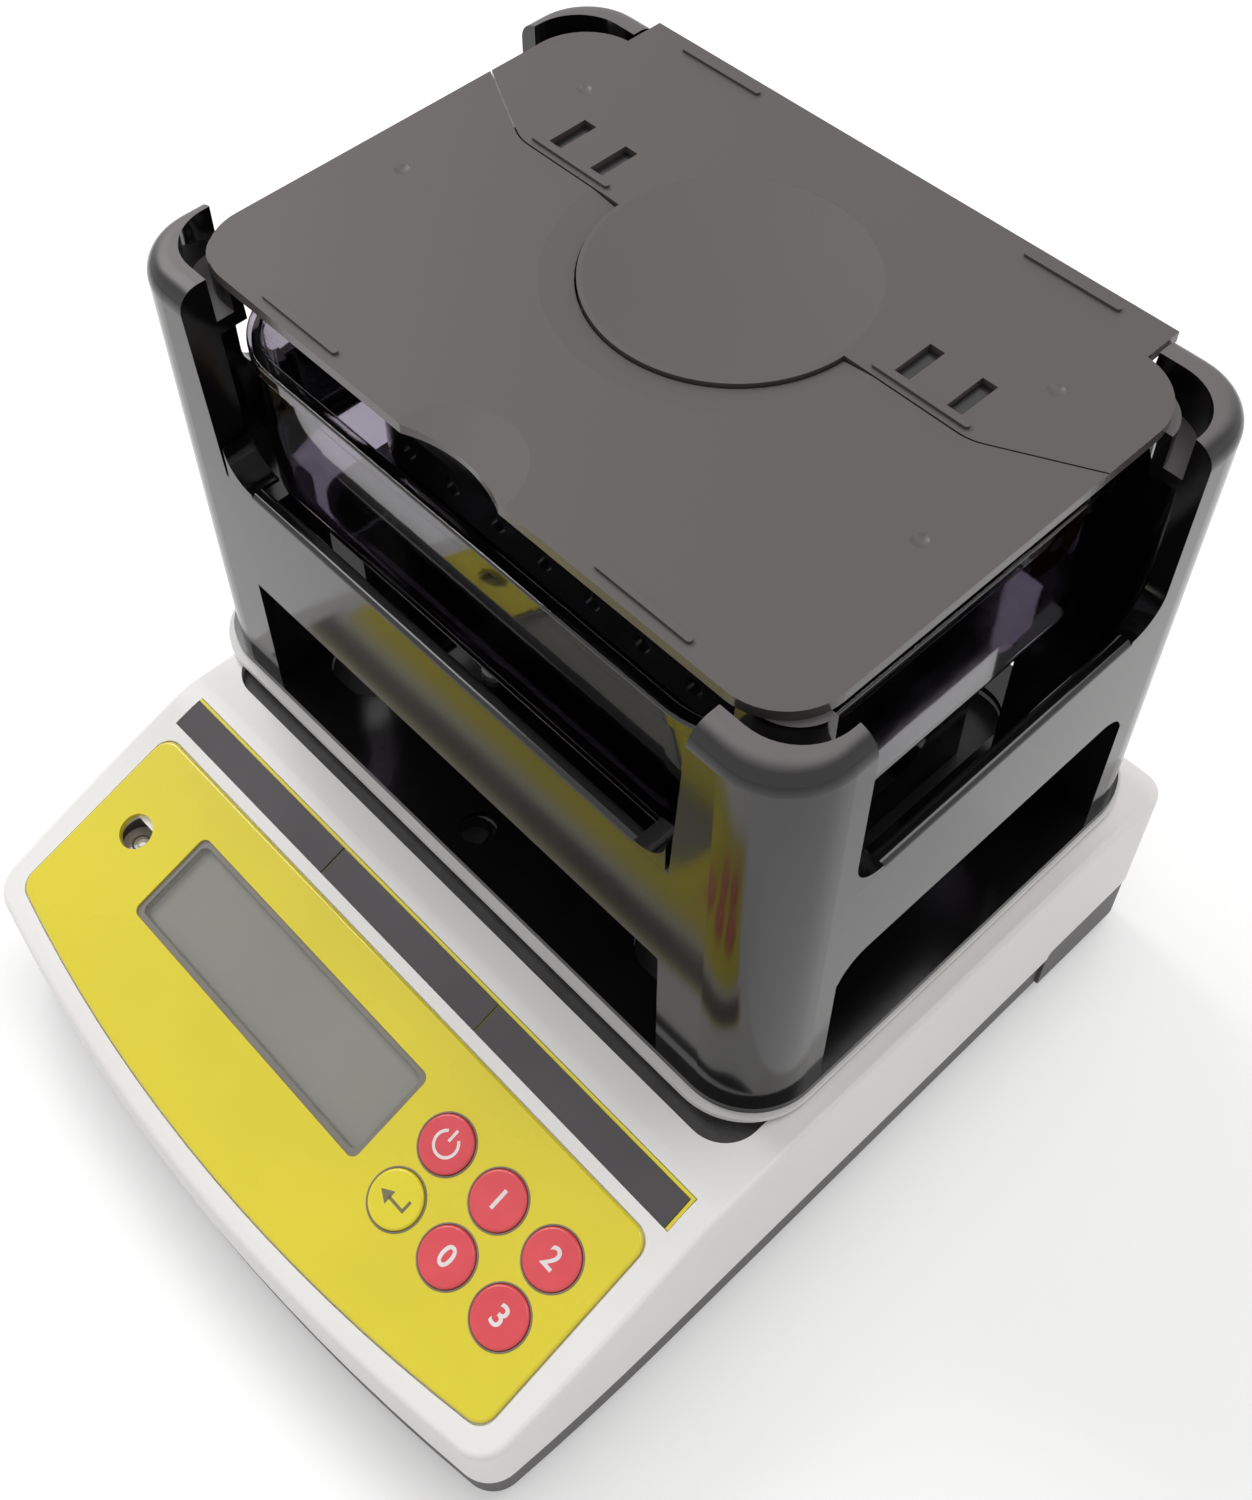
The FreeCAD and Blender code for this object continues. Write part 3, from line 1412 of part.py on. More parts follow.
def make_nodes():
    nodes = {
        "upper_housing": upper_housing(),
        "base_shell": base_shell(),
        "keypad_panel": keypad_panel(),
        "key_rings": key_rings(),
        "strip_trim": strip_trim(),
        "display_bezel": display_bezel(),
        "display_window": display_window(),
        "display_module": display_module(),
        "level_vial": level_vial(),
        "level_holder": level_holder(),
        "keypad_board": keypad_board(),
        "key_switches": key_switches(),
        "housing_screws": housing_screws(),
        "battery": battery(),
        "main_board": main_board(),
        "board_parts": board_parts(),
        "dc_jack": dc_jack(),
        "serial_port": serial_port(),
        "recess_mat": recess_mat(),
        "load_cell": load_cell(),
        "load_cell_seat": load_cell_seat(),
        "load_cell_screws": load_cell_screws(),
        "pan_spider": pan_spider(),
        "pan_plate": pan_plate(),
        "weighing_frame": weighing_frame(),
        "frame_screws": frame_screws(),
        "front_plate": front_plate(),
        "rear_plate": rear_plate(),
        "hanger_left": hanger(-1),
        "hanger_right": hanger(1),
        "basket": basket(),
        "water_tank": water_tank(),
        "tank_tabs": tank_tabs(),
        "tank_stand": tank_stand(),
    }
    for index, name in enumerate(("left", "middle", "right")):
        nodes["strip_cover_" + name] = strip_cover(index)
    key_names = ["upper_left", "upper_middle", "upper_right", "lower_left", "lower_middle", "lower_right"]
    for name, place in zip(key_names, key_places()):
        nodes["key_" + name] = key_cap(*place)
    for name, place in foot_places().items():
        nodes["foot_wheel_" + name] = foot_wheel(*place)
        nodes["foot_pad_" + name] = foot_pad(*place)
    return nodes


for node_name, node_shape in make_nodes().items():
    save(node_name, node_shape)
    print(node_name, len(node_shape.Solids), round(node_shape.Volume, 1), node_shape.isValid())
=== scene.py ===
"""Looks of a counter-top gold tester: a white weighing base with a yellow keypad, and on its pan a
black frame that holds a grey lid with a dish, a hanging basket and a clear water tank."""

import json
import math

import bpy
from mathutils import Matrix, Vector


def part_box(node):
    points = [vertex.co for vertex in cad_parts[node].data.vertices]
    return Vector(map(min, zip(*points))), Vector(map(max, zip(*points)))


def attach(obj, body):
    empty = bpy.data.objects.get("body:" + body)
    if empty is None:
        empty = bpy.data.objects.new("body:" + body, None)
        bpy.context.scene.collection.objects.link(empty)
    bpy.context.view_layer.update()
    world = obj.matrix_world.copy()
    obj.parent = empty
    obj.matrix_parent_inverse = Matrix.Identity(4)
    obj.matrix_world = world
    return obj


MM = 0.001

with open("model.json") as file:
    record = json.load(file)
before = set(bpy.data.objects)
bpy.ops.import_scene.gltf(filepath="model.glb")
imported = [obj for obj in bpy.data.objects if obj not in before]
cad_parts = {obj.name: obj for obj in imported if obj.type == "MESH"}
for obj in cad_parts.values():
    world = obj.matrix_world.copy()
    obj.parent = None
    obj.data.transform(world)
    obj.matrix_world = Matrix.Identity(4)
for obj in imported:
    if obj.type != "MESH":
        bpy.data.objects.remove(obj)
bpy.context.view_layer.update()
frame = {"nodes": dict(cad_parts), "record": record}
nodes = frame["nodes"]
bpy.ops.object.select_all(action="DESELECT")


# Small helpers for colours and material nodes


def colour(code):
    """Linear colour from an sRGB hex value."""
    parts = [int(code[i:i + 2], 16) / 255 for i in (1, 3, 5)]
    return tuple(p / 12.92 if p <= 0.04045 else ((p + 0.055) / 1.055) ** 2.4 for p in parts) + (1.0,)


def add(material, kind, settings, links=None):
    """Adds one node with its settings, and joins earlier outputs to its inputs."""
    made = material.node_tree.nodes.new(kind)
    for name, value in settings.items():
        if name == "stops":
            made.color_ramp.elements.remove(made.color_ramp.elements[0])
            for i, (place, shade) in enumerate(value):
                stop = made.color_ramp.elements[0] if i == 0 else made.color_ramp.elements.new(place)
                stop.position = place
                stop.color = shade
        elif name in made.inputs:
            made.inputs[name].default_value = value
        else:
            setattr(made, name, value)
    for name, source in (links or {}).items():
        material.node_tree.links.new(source, made.inputs[name])
    return made


def start(name, settings):
    """New material with its shader set, and the object's own coordinates."""
    material = bpy.data.materials.new(name)
    material.use_nodes = True
    shader = material.node_tree.nodes["Principled BSDF"]
    for key, value in settings.items():
        shader.inputs[key].default_value = value
    place = add(material, "ShaderNodeTexCoord", {}).outputs["Object"]
    return material, shader, place


def join(material, source, target):
    """Links one node's output to another's input."""
    material.node_tree.links.new(source, target)


def rays_to_show(material):
    """1 for the rays that see the backdrop: straight from the camera, by reflection or through glass."""
    path = add(material, "ShaderNodeLightPath", {})
    first = add(material, "ShaderNodeMath", {"operation": "MAXIMUM"})
    join(material, path.outputs["Is Camera Ray"], first.inputs[0])
    join(material, path.outputs["Is Glossy Ray"], first.inputs[1])
    both = add(material, "ShaderNodeMath", {"operation": "MAXIMUM"})
    join(material, first.outputs["Value"], both.inputs[0])
    join(material, path.outputs["Is Transmission Ray"], both.inputs[1])
    return both.outputs["Value"]


def moulded(name, shades, settings, rough, grain_mm, depth_mm, cloud_mm=35.0):
    """Moulded surface: slow drift between two shades and two gloss levels, and a fine grain in relief."""
    material, shader, place = start(name, settings)
    cloud = add(material, "ShaderNodeTexNoise", {"Scale": 1 / (cloud_mm * MM), "Detail": 3.0},
                {"Vector": place})
    stops = [(0.3, colour(shades[0])), (0.7, colour(shades[1]))]
    tint = add(material, "ShaderNodeValToRGB", {"stops": stops}, {"Fac": cloud.outputs["Fac"]})
    join(material, tint.outputs["Color"], shader.inputs["Base Color"])
    gloss = add(material, "ShaderNodeMapRange", {"To Min": rough[0], "To Max": rough[1]},
                {"Value": cloud.outputs["Fac"]})
    join(material, gloss.outputs["Result"], shader.inputs["Roughness"])
    grain = add(material, "ShaderNodeTexNoise", {"Scale": 1 / (grain_mm * MM), "Detail": 2.0},
                {"Vector": place})
    bump = add(material, "ShaderNodeBump", {"Distance": depth_mm * MM}, {"Height": grain.outputs["Fac"]})
    join(material, bump.outputs["Normal"], shader.inputs["Normal"])
    return material


def brushed(name, shades, settings, rough, line_mm, stretch):
    """Worked metal: fine lines that run along one axis, lighter and darker in turn."""
    material, shader, place = start(name, settings)
    run = add(material, "ShaderNodeMapping", {"Scale": stretch}, {"Vector": place})
    lines = add(material, "ShaderNodeTexNoise", {"Scale": 1 / (line_mm * MM), "Detail": 4.0},
                {"Vector": run.outputs["Vector"]})
    stops = [(0.25, colour(shades[0])), (0.75, colour(shades[1]))]
    tint = add(material, "ShaderNodeValToRGB", {"stops": stops}, {"Fac": lines.outputs["Fac"]})
    join(material, tint.outputs["Color"], shader.inputs["Base Color"])
    gloss = add(material, "ShaderNodeMapRange", {"To Min": rough[0], "To Max": rough[1]},
                {"Value": lines.outputs["Fac"]})
    join(material, gloss.outputs["Result"], shader.inputs["Roughness"])
    bump = add(material, "ShaderNodeBump", {"Distance": 0.01 * MM}, {"Height": lines.outputs["Fac"]})
    join(material, bump.outputs["Normal"], shader.inputs["Normal"])
    return material


def sand_level_faces_with_painted_light(material, shade, rough, above_mm):
    """Gives faces that lie level, above a height, the roughness of a sand-blasted mould and a given colour;
    where that colour is lighter than the part's own, it is painted top light.
    """
    shader = material.node_tree.nodes["Principled BSDF"]
    spot = add(material, "ShaderNodeTexCoord", {})
    facing = add(material, "ShaderNodeSeparateXYZ", {}, {"Vector": spot.outputs["Normal"]})
    level_face = add(material, "ShaderNodeMapRange", {"From Min": 0.8, "From Max": 0.97},
                     {"Value": facing.outputs["Z"]})
    place = add(material, "ShaderNodeSeparateXYZ", {}, {"Vector": spot.outputs["Object"]})
    high_up = add(material, "ShaderNodeMath", {"operation": "GREATER_THAN"})
    join(material, place.outputs["Z"], high_up.inputs[0])
    high_up.inputs[1].default_value = above_mm * MM
    share = add(material, "ShaderNodeMath", {"operation": "MULTIPLY"})
    join(material, level_face.outputs["Result"], share.inputs[0])
    join(material, high_up.outputs["Value"], share.inputs[1])
    # The given colour goes on level faces; on the black frame it is a painted highlight, a grey standing in
    # for the overhead light on the post tops.
    for channel, kind, value in (("Base Color", "RGBA", colour(shade)), ("Roughness", "FLOAT", rough)):
        polished = shader.inputs[channel].links[0].from_socket
        blend = add(material, "ShaderNodeMix", {"data_type": kind})
        ends = [socket for socket in blend.inputs if socket.enabled]
        join(material, share.outputs["Value"], ends[0])
        join(material, polished, ends[1])
        ends[2].default_value = value
        join(material, [socket for socket in blend.outputs if socket.enabled][0], shader.inputs[channel])


# Finishes, one for each material slot of the part

finishes = {}

# White ABS from a lightly sparked mould: a soft sheen that shows the rounded edges. The real grain is
# about 0.1 mm, drawn at 0.5 mm so that it shows.
finishes["white_housing"] = moulded("white moulded ABS", ("#EDEBEA", "#F3F2F1"), {"IOR": 1.53},
                                    (0.34, 0.42), 0.5, 0.012, 60.0)

# Dark grey ABS of the base, sparked coarser, so it reads as a dull rim.
finishes["dark_base"] = moulded("dark grey moulded ABS", ("#3B3739", "#454143"), {"IOR": 1.53},
                                (0.42, 0.52), 0.7, 0.02, 40.0)

# Yellow ink printed under clear polycarbonate: deep flat colour below a wet gloss with a faint ripple.
finishes["yellow_panel"] = moulded("yellow printed polycarbonate", ("#E2D203", "#E9D806"),
                                   {"IOR": 1.58, "Coat Weight": 0.5, "Coat Roughness": 0.06},
                                   (0.24, 0.3), 6.0, 0.02, 45.0)

# Grey ink of the key rings: a thin satin print.
finishes["grey_ring"] = moulded("grey screen ink", ("#7E746B", "#8B8178"), {"IOR": 1.5},
                                (0.4, 0.48), 0.6, 0.01, 8.0)

# Smoked grey acrylic strip: glossy, a little purple, with a soft ripple from the adhesive behind it.
finishes["dark_strip"] = moulded("smoked grey acrylic", ("#423E42", "#4A464A"), {"IOR": 1.49},
                                 (0.2, 0.27), 4.0, 0.012, 30.0)

# Grey ABS surround of the display, sunk below the panel.
finishes["display_grey"] = moulded("grey moulded ABS", ("#77736E", "#827E78"), {"IOR": 1.53},
                                   (0.4, 0.48), 0.6, 0.012, 20.0)

# Clear acrylic pane: nearly unseen, with one soft gloss.
finishes["display_pane"] = moulded("clear cast acrylic pane", ("#C9CBC6", "#D2D4CF"),
                                   {"IOR": 1.49, "Alpha": 0.12}, (0.08, 0.12), 9.0, 0.004, 30.0)

# Liquid-crystal glass, switched off: grey with a hint of green, and a matt polariser on top.
finishes["display_glass"] = moulded("polarised liquid-crystal glass", ("#7C7A70", "#87857B"), {"IOR": 1.52},
                                    (0.32, 0.4), 1.5, 0.006, 50.0)

# Acrylic cup of the level with pale spirit in it.
finishes["level_vial"] = moulded("spirit-filled acrylic", ("#A29B90", "#B4AEA4"),
                                 {"IOR": 1.49, "Coat Weight": 0.6, "Coat Roughness": 0.05},
                                 (0.18, 0.26), 3.0, 0.01, 6.0)

# Glass-fibre board under green solder mask, with copper tracks that show as paler lines every 2.5 mm.
board, board_shader, board_place = start("green solder-mask board", {"IOR": 1.55, "Roughness": 0.38})
board_step = add(board, "ShaderNodeTexBrick", {"Scale": 1.0, "Brick Width": 12 * MM, "Row Height": 2.5 * MM,
                                               "Mortar Size": 0.35 * MM, "Color1": colour("#0E4A2A"),
                                               "Color2": colour("#12552F"), "Mortar": colour("#2F7A4A")},
                 {"Vector": board_place})
join(board, board_step.outputs["Color"], board_shader.inputs["Base Color"])
board_bump = add(board, "ShaderNodeBump", {"Distance": 0.035 * MM}, {"Height": board_step.outputs["Fac"]})
join(board, board_bump.outputs["Normal"], board_shader.inputs["Normal"])
finishes["circuit_board"] = board

# Black PBT of switches and sockets: dense, slightly glossy.
finishes["switch_black"] = moulded("black moulded PBT", ("#121213", "#1B1B1C"), {"IOR": 1.55},
                                   (0.34, 0.44), 0.5, 0.012, 10.0)

# Zinc-plated steel screws, turned, so their lines run round the shank.
finishes["steel_screw"] = brushed("zinc-plated steel", ("#A5A6A6", "#BFC0C0"), {"Metallic": 1.0},
                                  (0.28, 0.4), 0.5, (1.0, 1.0, 6.0))

# Dark grey ABS case of the sealed battery.
finishes["battery_case"] = moulded("battery-case ABS", ("#2E2F33", "#393A3E"), {"IOR": 1.53},
                                   (0.4, 0.5), 0.8, 0.02, 20.0)

# Nickel-plated shells of the sockets.
finishes["socket_metal"] = brushed("nickel-plated steel", ("#B2B0AB", "#CAC8C2"), {"Metallic": 1.0},
                                   (0.22, 0.34), 0.4, (5.0, 1.0, 1.0))

# Black rubber mat with a pebbled face: about 0.8 mm pebbles that break the light into points.
finishes["black_mat"] = moulded("pebbled black rubber", ("#353334", "#454344"),
                                {"IOR": 1.52, "Sheen Weight": 0.1}, (0.5, 0.62), 0.8, 0.08, 6.0)

# Milled and anodised aluminium of the load cell, cutter lines along the beam.
finishes["cell_aluminium"] = brushed("milled aluminium", ("#B4B5B6", "#CFCFCF"), {"Metallic": 1.0},
                                     (0.3, 0.42), 0.6, (0.2, 1.0, 3.0))

# Pale coated pan under the frame: powder coat with a slight orange peel of about 1 mm.
finishes["pale_pan"] = moulded("pale powder coat", ("#DAD9D8", "#E6E5E4"), {"IOR": 1.5},
                               (0.3, 0.4), 1.0, 0.02, 25.0)

# Black ABS of the frame: walls from a polished mould, sharp enough to mirror the keypad, and the level tops
# of the posts rough like the lid's sand-blasted face, with a painted mid grey that stands in for the overhead
# light on them.
finishes["black_frame"] = moulded("black polished ABS", ("#0B0A0B", "#141213"), {"IOR": 1.53},
                                  (0.09, 0.16), 0.9, 0.006, 30.0)
sand_level_faces_with_painted_light(finishes["black_frame"], "#565253", 0.5, 160.0)

# Grey-brown ABS lid with a sand-blasted mould finish, flat to the eye, and glossy edges that catch the
# yellow of the keypad. The real sand is about 0.2 mm, drawn at 0.7 mm so that it shows.
finishes["lid_grey"] = moulded("sand-textured grey ABS", ("#474343", "#504B4B"), {"IOR": 1.5},
                               (0.12, 0.2), 0.7, 0.03, 45.0)
sand_level_faces_with_painted_light(finishes["lid_grey"], "#4C4747", 0.55, 0.0)

# Smoky translucent straps of the basket.
finishes["hanger_grey"] = moulded("smoky polystyrene", ("#232225", "#2D2B2F"),
                                  {"IOR": 1.59, "Transmission Weight": 0.5}, (0.2, 0.3), 2.0, 0.02, 12.0)

# Clear polystyrene of the tank, with the smoky violet that thick clear plastic shows.
finishes["clear_tank"] = moulded("clear moulded polystyrene", ("#928C9A", "#A19BA8"),
                                 {"IOR": 1.59, "Transmission Weight": 1.0},
                                 (0.02, 0.06), 14.0, 0.02, 40.0)

# Pale nylon clips inside the tank's walls.
finishes["tab_grey"] = moulded("pale nylon", ("#9B9A9B", "#ACABAC"), {"IOR": 1.53, "Subsurface Weight": 0.1},
                               (0.35, 0.45), 1.0, 0.02, 10.0)

# Red and yellow key tops: ink under a satin polycarbonate dome.
finishes["red_key"] = moulded("red printed dome", ("#DC3A46", "#E5454F"),
                              {"IOR": 1.58, "Coat Weight": 0.4, "Coat Roughness": 0.22},
                              (0.3, 0.38), 1.2, 0.01, 8.0)
finishes["yellow_key"] = moulded("yellow printed dome", ("#E6D60A", "#EDDD12"),
                                 {"IOR": 1.58, "Coat Weight": 0.4, "Coat Roughness": 0.22},
                                 (0.3, 0.38), 1.2, 0.01, 8.0)

# Black nitrile pads, ground flat.
finishes["foot_rubber"] = moulded("black nitrile rubber", ("#1A1A1A", "#242424"), {"IOR": 1.52},
                                  (0.6, 0.72), 0.5, 0.03, 6.0)

for part in frame["record"]["subparts"]:
    piece = nodes[part["node"]]
    piece.data.materials.clear()
    piece.data.materials.append(finishes[part["material_slot"]])


# Ink of the legends: a thin satin print, white on red and grey on yellow
white_ink = moulded("white screen ink", ("#E9E2E3", "#F3EEEE"), {"IOR": 1.5}, (0.35, 0.45), 0.4, 0.006, 5.0)
yellow_key_ink = moulded("grey screen ink on yellow", ("#6E6A4C", "#7A7656"), {"IOR": 1.5},
                         (0.35, 0.45), 0.4, 0.006, 5.0)

# Ring printed on the vial's lid, and the air bubble that shows as a small bright dome
ring_ink = moulded("dark printed ring", ("#3A3735", "#45423F"), {"IOR": 1.5}, (0.3, 0.4), 0.4, 0.004, 3.0)
bubble_air = moulded("air bubble under acrylic", ("#C9C2B8", "#D8D2C8"),
                     {"IOR": 1.33, "Coat Weight": 0.8, "Coat Roughness": 0.04}, (0.08, 0.14), 1.0, 0.004, 3.0)


# Printed legends of the keys: a power mark, plain numbers and a return arrow

SLOPE = math.radians(19.3)
UP_SLOPE = Vector((0.0, math.cos(SLOPE), math.sin(SLOPE)))
OUT_OF_SLOPE = Vector((0.0, -math.sin(SLOPE), math.cos(SLOPE)))
# Corners this near to the highest one belong to a key's flat top
FLAT_ENOUGH = 0.01 * MM
# A figure is about 0.7 times as tall as its type size
FIGURE_HEIGHT = 4.6 * MM
HEIGHT_SHARE = 0.7
INK_THICKNESS = 0.03 * MM
INK_SPREAD = 0.1 * MM
STROKE = 0.66 * MM


def finish_piece(piece, name, finish, body):
    """Names a new piece, gives it its finish, and lets it ride on its body."""
    piece.name = name
    piece.data.name = name
    piece.data.materials.clear()
    piece.data.materials.append(finish)
    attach(piece, body)
    bpy.ops.object.select_all(action="DESELECT")


def lay_on_key(piece, key):
    """Lays a flat piece, drawn round the origin, on the middle of a key's top."""
    corners = [vertex.co for vertex in nodes[key].data.vertices]
    top = max(corner.dot(OUT_OF_SLOPE) for corner in corners)
    face = [corner for corner in corners if corner.dot(OUT_OF_SLOPE) > top - FLAT_ENOUGH]
    middle = sum(face, Vector()) / len(face)
    turn = Matrix((Vector((1.0, 0.0, 0.0)), UP_SLOPE, OUT_OF_SLOPE)).transposed().to_4x4()
    piece.matrix_world = Matrix.Translation(middle) @ turn
    bpy.ops.object.select_all(action="DESELECT")
    piece.select_set(True)
    bpy.context.view_layer.objects.active = piece
    bpy.ops.object.transform_apply(location=True, rotation=True, scale=True)


def printed(text):
    """Flat figure of ink, drawn round the origin."""
    bpy.ops.object.text_add()
    made = bpy.context.object
    made.data.body = text
    made.data.size = FIGURE_HEIGHT / HEIGHT_SHARE
    made.data.align_x = "CENTER"
    made.data.align_y = "CENTER"
    made.data.extrude = INK_THICKNESS
    made.data.offset = INK_SPREAD
    bpy.ops.object.convert(target="MESH")
    return bpy.context.object


def tile(width, depth, x, y):
    """Adds a flat tile to the mesh in edit mode, and leaves it selected."""
    bpy.ops.mesh.select_all(action="DESELECT")
    bpy.ops.mesh.primitive_plane_add(size=1.0, location=(0.0, 0.0, 0.0))
    bpy.ops.transform.resize(value=(width, depth, 1.0))
    bpy.ops.transform.translate(value=(x, y, 0.0))


def close_mesh():
    """Turns the faces' fronts outward and leaves edit mode."""
    bpy.ops.mesh.select_all(action="SELECT")
    bpy.ops.mesh.normals_make_consistent(inside=False)
    bpy.ops.object.mode_set(mode="OBJECT")


FIGURES = {"key_upper_middle": "1", "key_upper_right": "2", "key_lower_middle": "0", "key_lower_right": "3"}
for key, figure in FIGURES.items():
    mark = printed(figure)
    lay_on_key(mark, key)
    finish_piece(mark, "legend_" + figure, white_ink, key)

# Power mark: an upright bar in the opening of a ring, whose section is spun round the middle
BAR_LENGTH = 2.9 * MM
BAR_MIDDLE = 2.15 * MM
BAR_EDGE = 0.02 * MM
POWER_RADIUS = 2.75 * MM
POWER_OPENING = 70
bpy.ops.mesh.primitive_cube_add(size=1.0, location=(0.0, BAR_MIDDLE, 0.0))
power_bar = bpy.context.object
bpy.ops.object.mode_set(mode="EDIT")
bpy.ops.transform.resize(value=(STROKE, BAR_LENGTH, 2 * INK_THICKNESS))
bpy.ops.mesh.select_all(action="SELECT")
bpy.ops.mesh.bevel(offset=BAR_EDGE, segments=1)
bpy.ops.object.mode_set(mode="OBJECT")
bpy.ops.object.transform_apply(location=True, rotation=True, scale=True)
bpy.ops.object.select_all(action="DESELECT")
bpy.ops.mesh.primitive_plane_add(size=1.0, location=(0.0, 0.0, 0.0))
power_mark = bpy.context.object
bpy.ops.object.mode_set(mode="EDIT")
bpy.ops.mesh.select_all(action="SELECT")
bpy.ops.transform.resize(value=(STROKE, 2 * INK_THICKNESS, 1.0))
bpy.ops.transform.rotate(value=math.radians(90), orient_axis="X", center_override=(0.0, 0.0, 0.0))
bpy.ops.transform.translate(value=(POWER_RADIUS, 0.0, 0.0))
bpy.ops.transform.rotate(value=-math.radians(90 - POWER_OPENING / 2), orient_axis="Z",
                         center_override=(0.0, 0.0, 0.0))
bpy.ops.mesh.spin(steps=40, angle=math.radians(360 - POWER_OPENING), center=(0.0, 0.0, 0.0),
                  axis=(0.0, 0.0, 1.0))
close_mesh()
bpy.ops.object.select_all(action="DESELECT")
power_bar.select_set(True)
power_mark.select_set(True)
bpy.context.view_layer.objects.active = power_mark
bpy.ops.object.join()
lay_on_key(power_mark, "key_upper_left")
finish_piece(power_mark, "legend_power", white_ink, "key_upper_left")

# Return arrow: a bar with a short upright at its right end and a three-cornered head at its left
ARROW_DROP = -0.6 * MM
ARROW_LENGTH = 4.6 * MM
ARROW_MIDDLE = 0.9 * MM
HEAD_RADIUS = 1.9 * MM
HEAD_X = -2.0 * MM
UPRIGHT_HEIGHT = 2.2 * MM
bpy.ops.mesh.primitive_circle_add(vertices=3, radius=HEAD_RADIUS, fill_type="NGON", location=(0.0, 0.0, 0.0))
arrow = bpy.context.object
bpy.ops.object.mode_set(mode="EDIT")
bpy.ops.mesh.select_all(action="SELECT")
bpy.ops.transform.rotate(value=-math.radians(90), orient_axis="Z", center_override=(0.0, 0.0, 0.0))
bpy.ops.transform.translate(value=(HEAD_X, ARROW_DROP, 0.0))
tile(ARROW_LENGTH, STROKE, ARROW_MIDDLE, ARROW_DROP)
tile(STROKE, UPRIGHT_HEIGHT, ARROW_MIDDLE + (ARROW_LENGTH - STROKE) / 2,
     ARROW_DROP + (STROKE + UPRIGHT_HEIGHT) / 2)
bpy.ops.mesh.select_all(action="SELECT")
bpy.ops.mesh.extrude_region_move(TRANSFORM_OT_translate={"value": (0.0, 0.0, INK_THICKNESS)})
close_mesh()
lay_on_key(arrow, "key_lower_left")
finish_piece(arrow, "legend_return", yellow_key_ink, "key_lower_left")


# Bubble level: the ring printed on the vial's lid and the bubble under it

RING_RADIUS = 2.1 * MM
RING_STROKE = 0.22 * MM
RING_FLATNESS = 0.45
BUBBLE_RADIUS = 1.35 * MM
BUBBLE_FLATNESS = 0.18
BUBBLE_DRIFT = Vector((0.25 * MM, 0.2 * MM, 0.05 * MM))
vial_low, vial_high = (Vector(corner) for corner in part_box("level_vial"))
vial_middle = (vial_low + vial_high) / 2
vial_top = Vector((vial_middle.x, vial_middle.y, vial_high.z))
bpy.ops.mesh.primitive_torus_add(major_radius=RING_RADIUS, minor_radius=RING_STROKE, major_segments=64,
                                 minor_segments=12, location=(0.0, 0.0, 0.0))
level_ring = bpy.context.object
bpy.ops.object.mode_set(mode="EDIT")
bpy.ops.mesh.select_all(action="SELECT")
bpy.ops.transform.resize(value=(1.0, 1.0, RING_FLATNESS))
bpy.ops.transform.translate(value=vial_top)
bpy.ops.object.mode_set(mode="OBJECT")
bpy.ops.object.shade_smooth()
finish_piece(level_ring, "level_ring", ring_ink, "housing")
bpy.ops.mesh.primitive_uv_sphere_add(segments=48, ring_count=24, radius=BUBBLE_RADIUS,
                                     location=(0.0, 0.0, 0.0))
bubble = bpy.context.object
bpy.ops.object.mode_set(mode="EDIT")
bpy.ops.mesh.select_all(action="SELECT")
bpy.ops.transform.resize(value=(1.0, 1.0, BUBBLE_FLATNESS))
bpy.ops.transform.translate(value=vial_top + BUBBLE_DRIFT)
bpy.ops.object.mode_set(mode="OBJECT")
bpy.ops.object.shade_smooth()
finish_piece(bubble, "level_bubble", bubble_air, "housing")


# Black collar in the round hole at the front of the frame's floor and the pan plate. Its inset is measured
# from the floor's flange and not from the frame's wall, so it stands 1.4 mm in front of the hole's middle.

HOLE_RADIUS = 4.25 * MM
HOLE_INSET = 6.9 * MM
LINER_GAP = 0.05 * MM
LINER_WALL = 0.8 * MM
LINER_RISE = 1.6 * MM
frame_low, frame_high = (Vector(corner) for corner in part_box("weighing_frame"))
plate_low, plate_high = (Vector(corner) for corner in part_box("pan_plate"))
hole_x = (frame_low.x + frame_high.x) / 2
hole_y = frame_low.y + HOLE_INSET
inner_share = 1 - LINER_WALL / HOLE_RADIUS
bpy.ops.mesh.primitive_circle_add(vertices=64, radius=HOLE_RADIUS - LINER_GAP, fill_type="NOTHING",
                                  location=(0.0, 0.0, 0.0))
liner = bpy.context.object
bpy.ops.object.mode_set(mode="EDIT")
bpy.ops.mesh.select_all(action="SELECT")
bpy.ops.mesh.extrude_region_move(TRANSFORM_OT_translate={"value": (0.0, 0.0, 0.0)})
bpy.ops.transform.resize(value=(inner_share, inner_share, 1.0))
bpy.ops.mesh.select_all(action="SELECT")
liner_height = plate_high.z - plate_low.z + LINER_RISE
bpy.ops.mesh.extrude_region_move(TRANSFORM_OT_translate={"value": (0.0, 0.0, liner_height)})
bpy.ops.mesh.select_all(action="SELECT")
bpy.ops.transform.translate(value=(hole_x, hole_y, plate_low.z))
close_mesh()
bpy.ops.object.shade_smooth_by_angle(angle=math.radians(40))
finish_piece(liner, "floor_hole_liner", finishes["black_frame"], "weighing_pan")


# Camera at the photograph's place

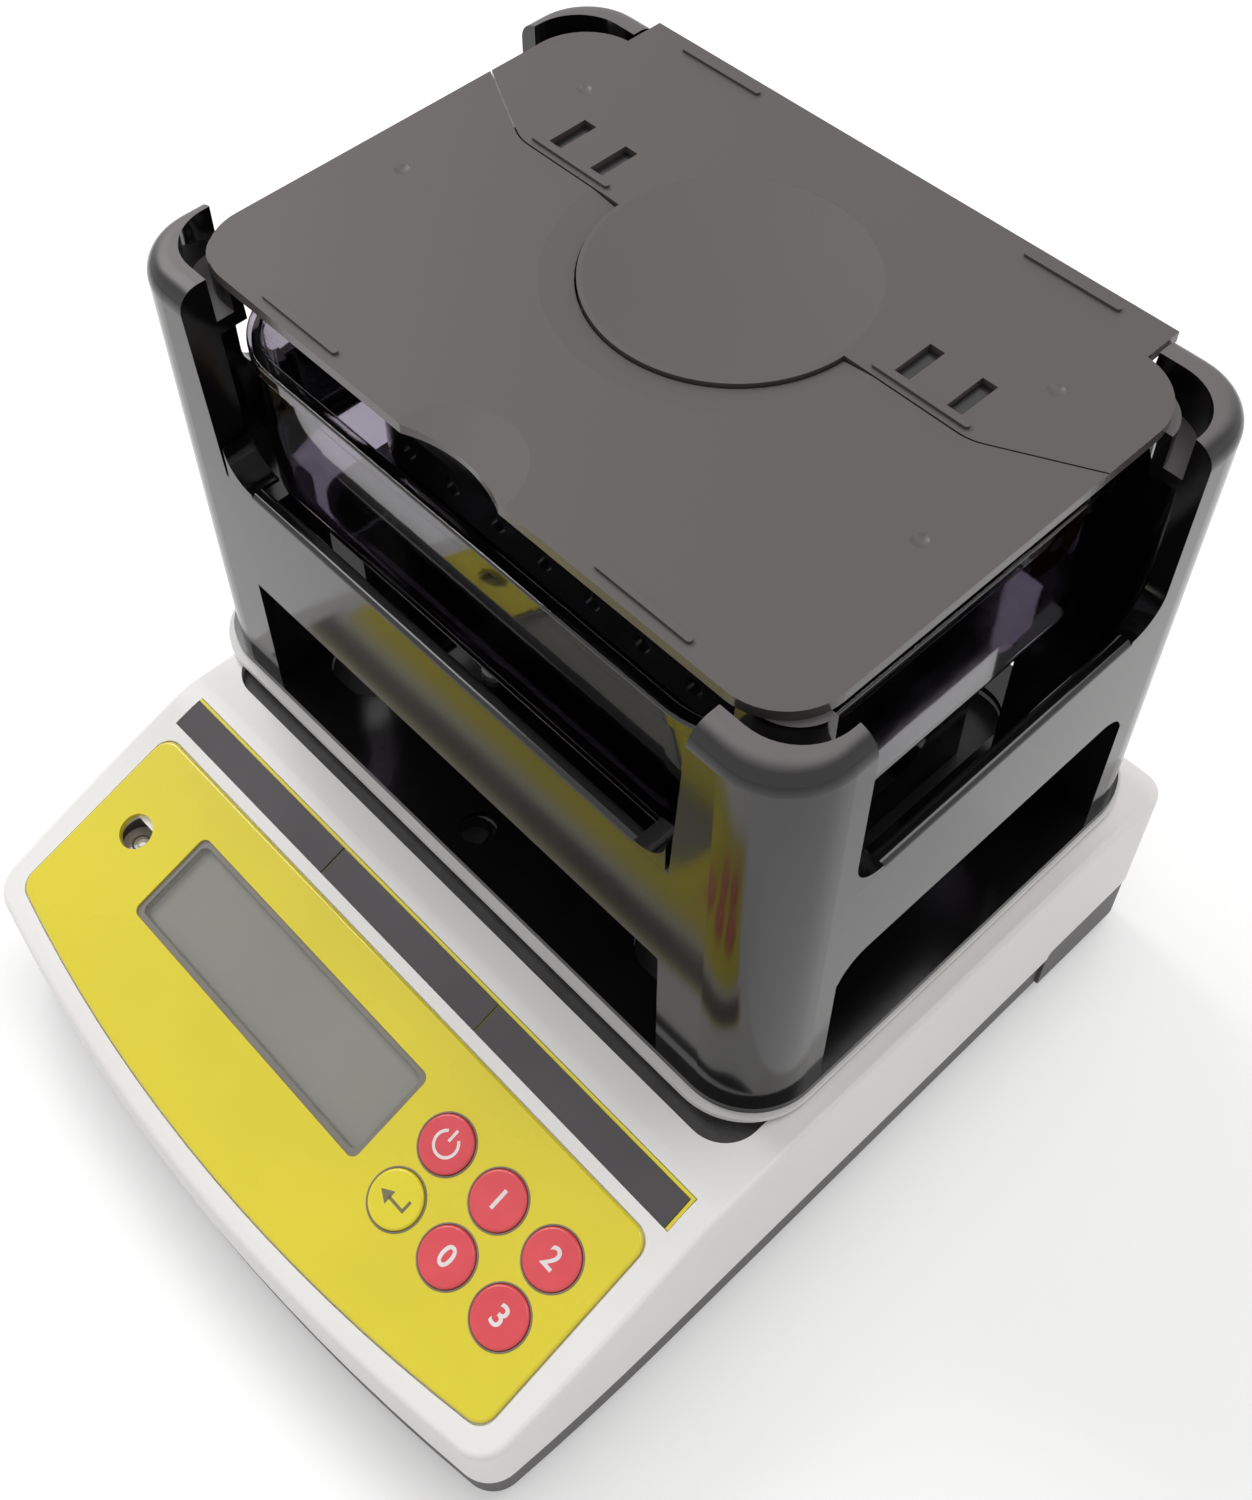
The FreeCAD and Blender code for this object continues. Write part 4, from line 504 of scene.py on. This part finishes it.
camera_data = bpy.data.cameras.new("camera")
camera = bpy.data.objects.new("camera", camera_data)
bpy.context.scene.collection.objects.link(camera)
camera.location = (0.179524, -0.142982, 0.415832)
camera.rotation_euler = (0.68012789, 0.02428189, 0.82757266)
camera_data.sensor_width = 36.0
camera_data.lens = 44.4485
camera_data.shift_x = 0.03651
camera_data.shift_y = -0.10416
camera_data.clip_start = 0.01
camera_data.clip_end = 20.0
bpy.context.scene.camera = camera
bpy.context.scene.view_settings.view_transform = "Standard"

# Soft studio light over a white floor

world = bpy.data.worlds.new("studio")
bpy.context.scene.world = world
world.use_nodes = True
sky = world.node_tree.nodes["Background"]
shown = rays_to_show(world)
level = add(world, "ShaderNodeMapRange", {"To Min": 0.55, "To Max": 1.0}, {"Value": shown})
join(world, level.outputs["Result"], sky.inputs["Strength"])
sky.inputs["Color"].default_value = (1.0, 0.99, 0.98, 1.0)


def lamp(name, place, aim, size, power):
    """Soft box: a square area lamp that looks at a point."""
    data = bpy.data.lights.new(name, "AREA")
    data.shape = "SQUARE"
    data.size = size
    data.energy = power
    made = bpy.data.objects.new(name, data)
    bpy.context.scene.collection.objects.link(made)
    made.location = place
    made.rotation_euler = (Vector(aim) - Vector(place)).to_track_quat("-Z", "Y").to_euler()


lamp("soft_box_left", (-0.75, 0.0, 0.95), (0.0, 0.0, 0.1), 0.6, 6.0)
lamp("soft_box_above", (0.15, 0.45, 1.2), (0.0, 0.0, 0.1), 0.7, 4.2)

FLOOR_SIDE = 8.0
bpy.ops.mesh.primitive_plane_add(size=FLOOR_SIDE, location=(0.0, 0.0, 0.0))
floor = bpy.context.object
floor.name = "floor"
bpy.ops.object.select_all(action="DESELECT")
paper, paper_shader = start("matt white paper sweep", {"Roughness": 0.9, "Base Color": colour("#E8E8E8")})[:2]
paper_glow = add(paper, "ShaderNodeMapRange", {"To Max": 0.28}, {"Value": rays_to_show(paper)})
join(paper, paper_glow.outputs["Result"], paper_shader.inputs["Emission Strength"])
paper_shader.inputs["Emission Color"].default_value = (1.0, 1.0, 1.0, 1.0)
floor.data.materials.append(paper)
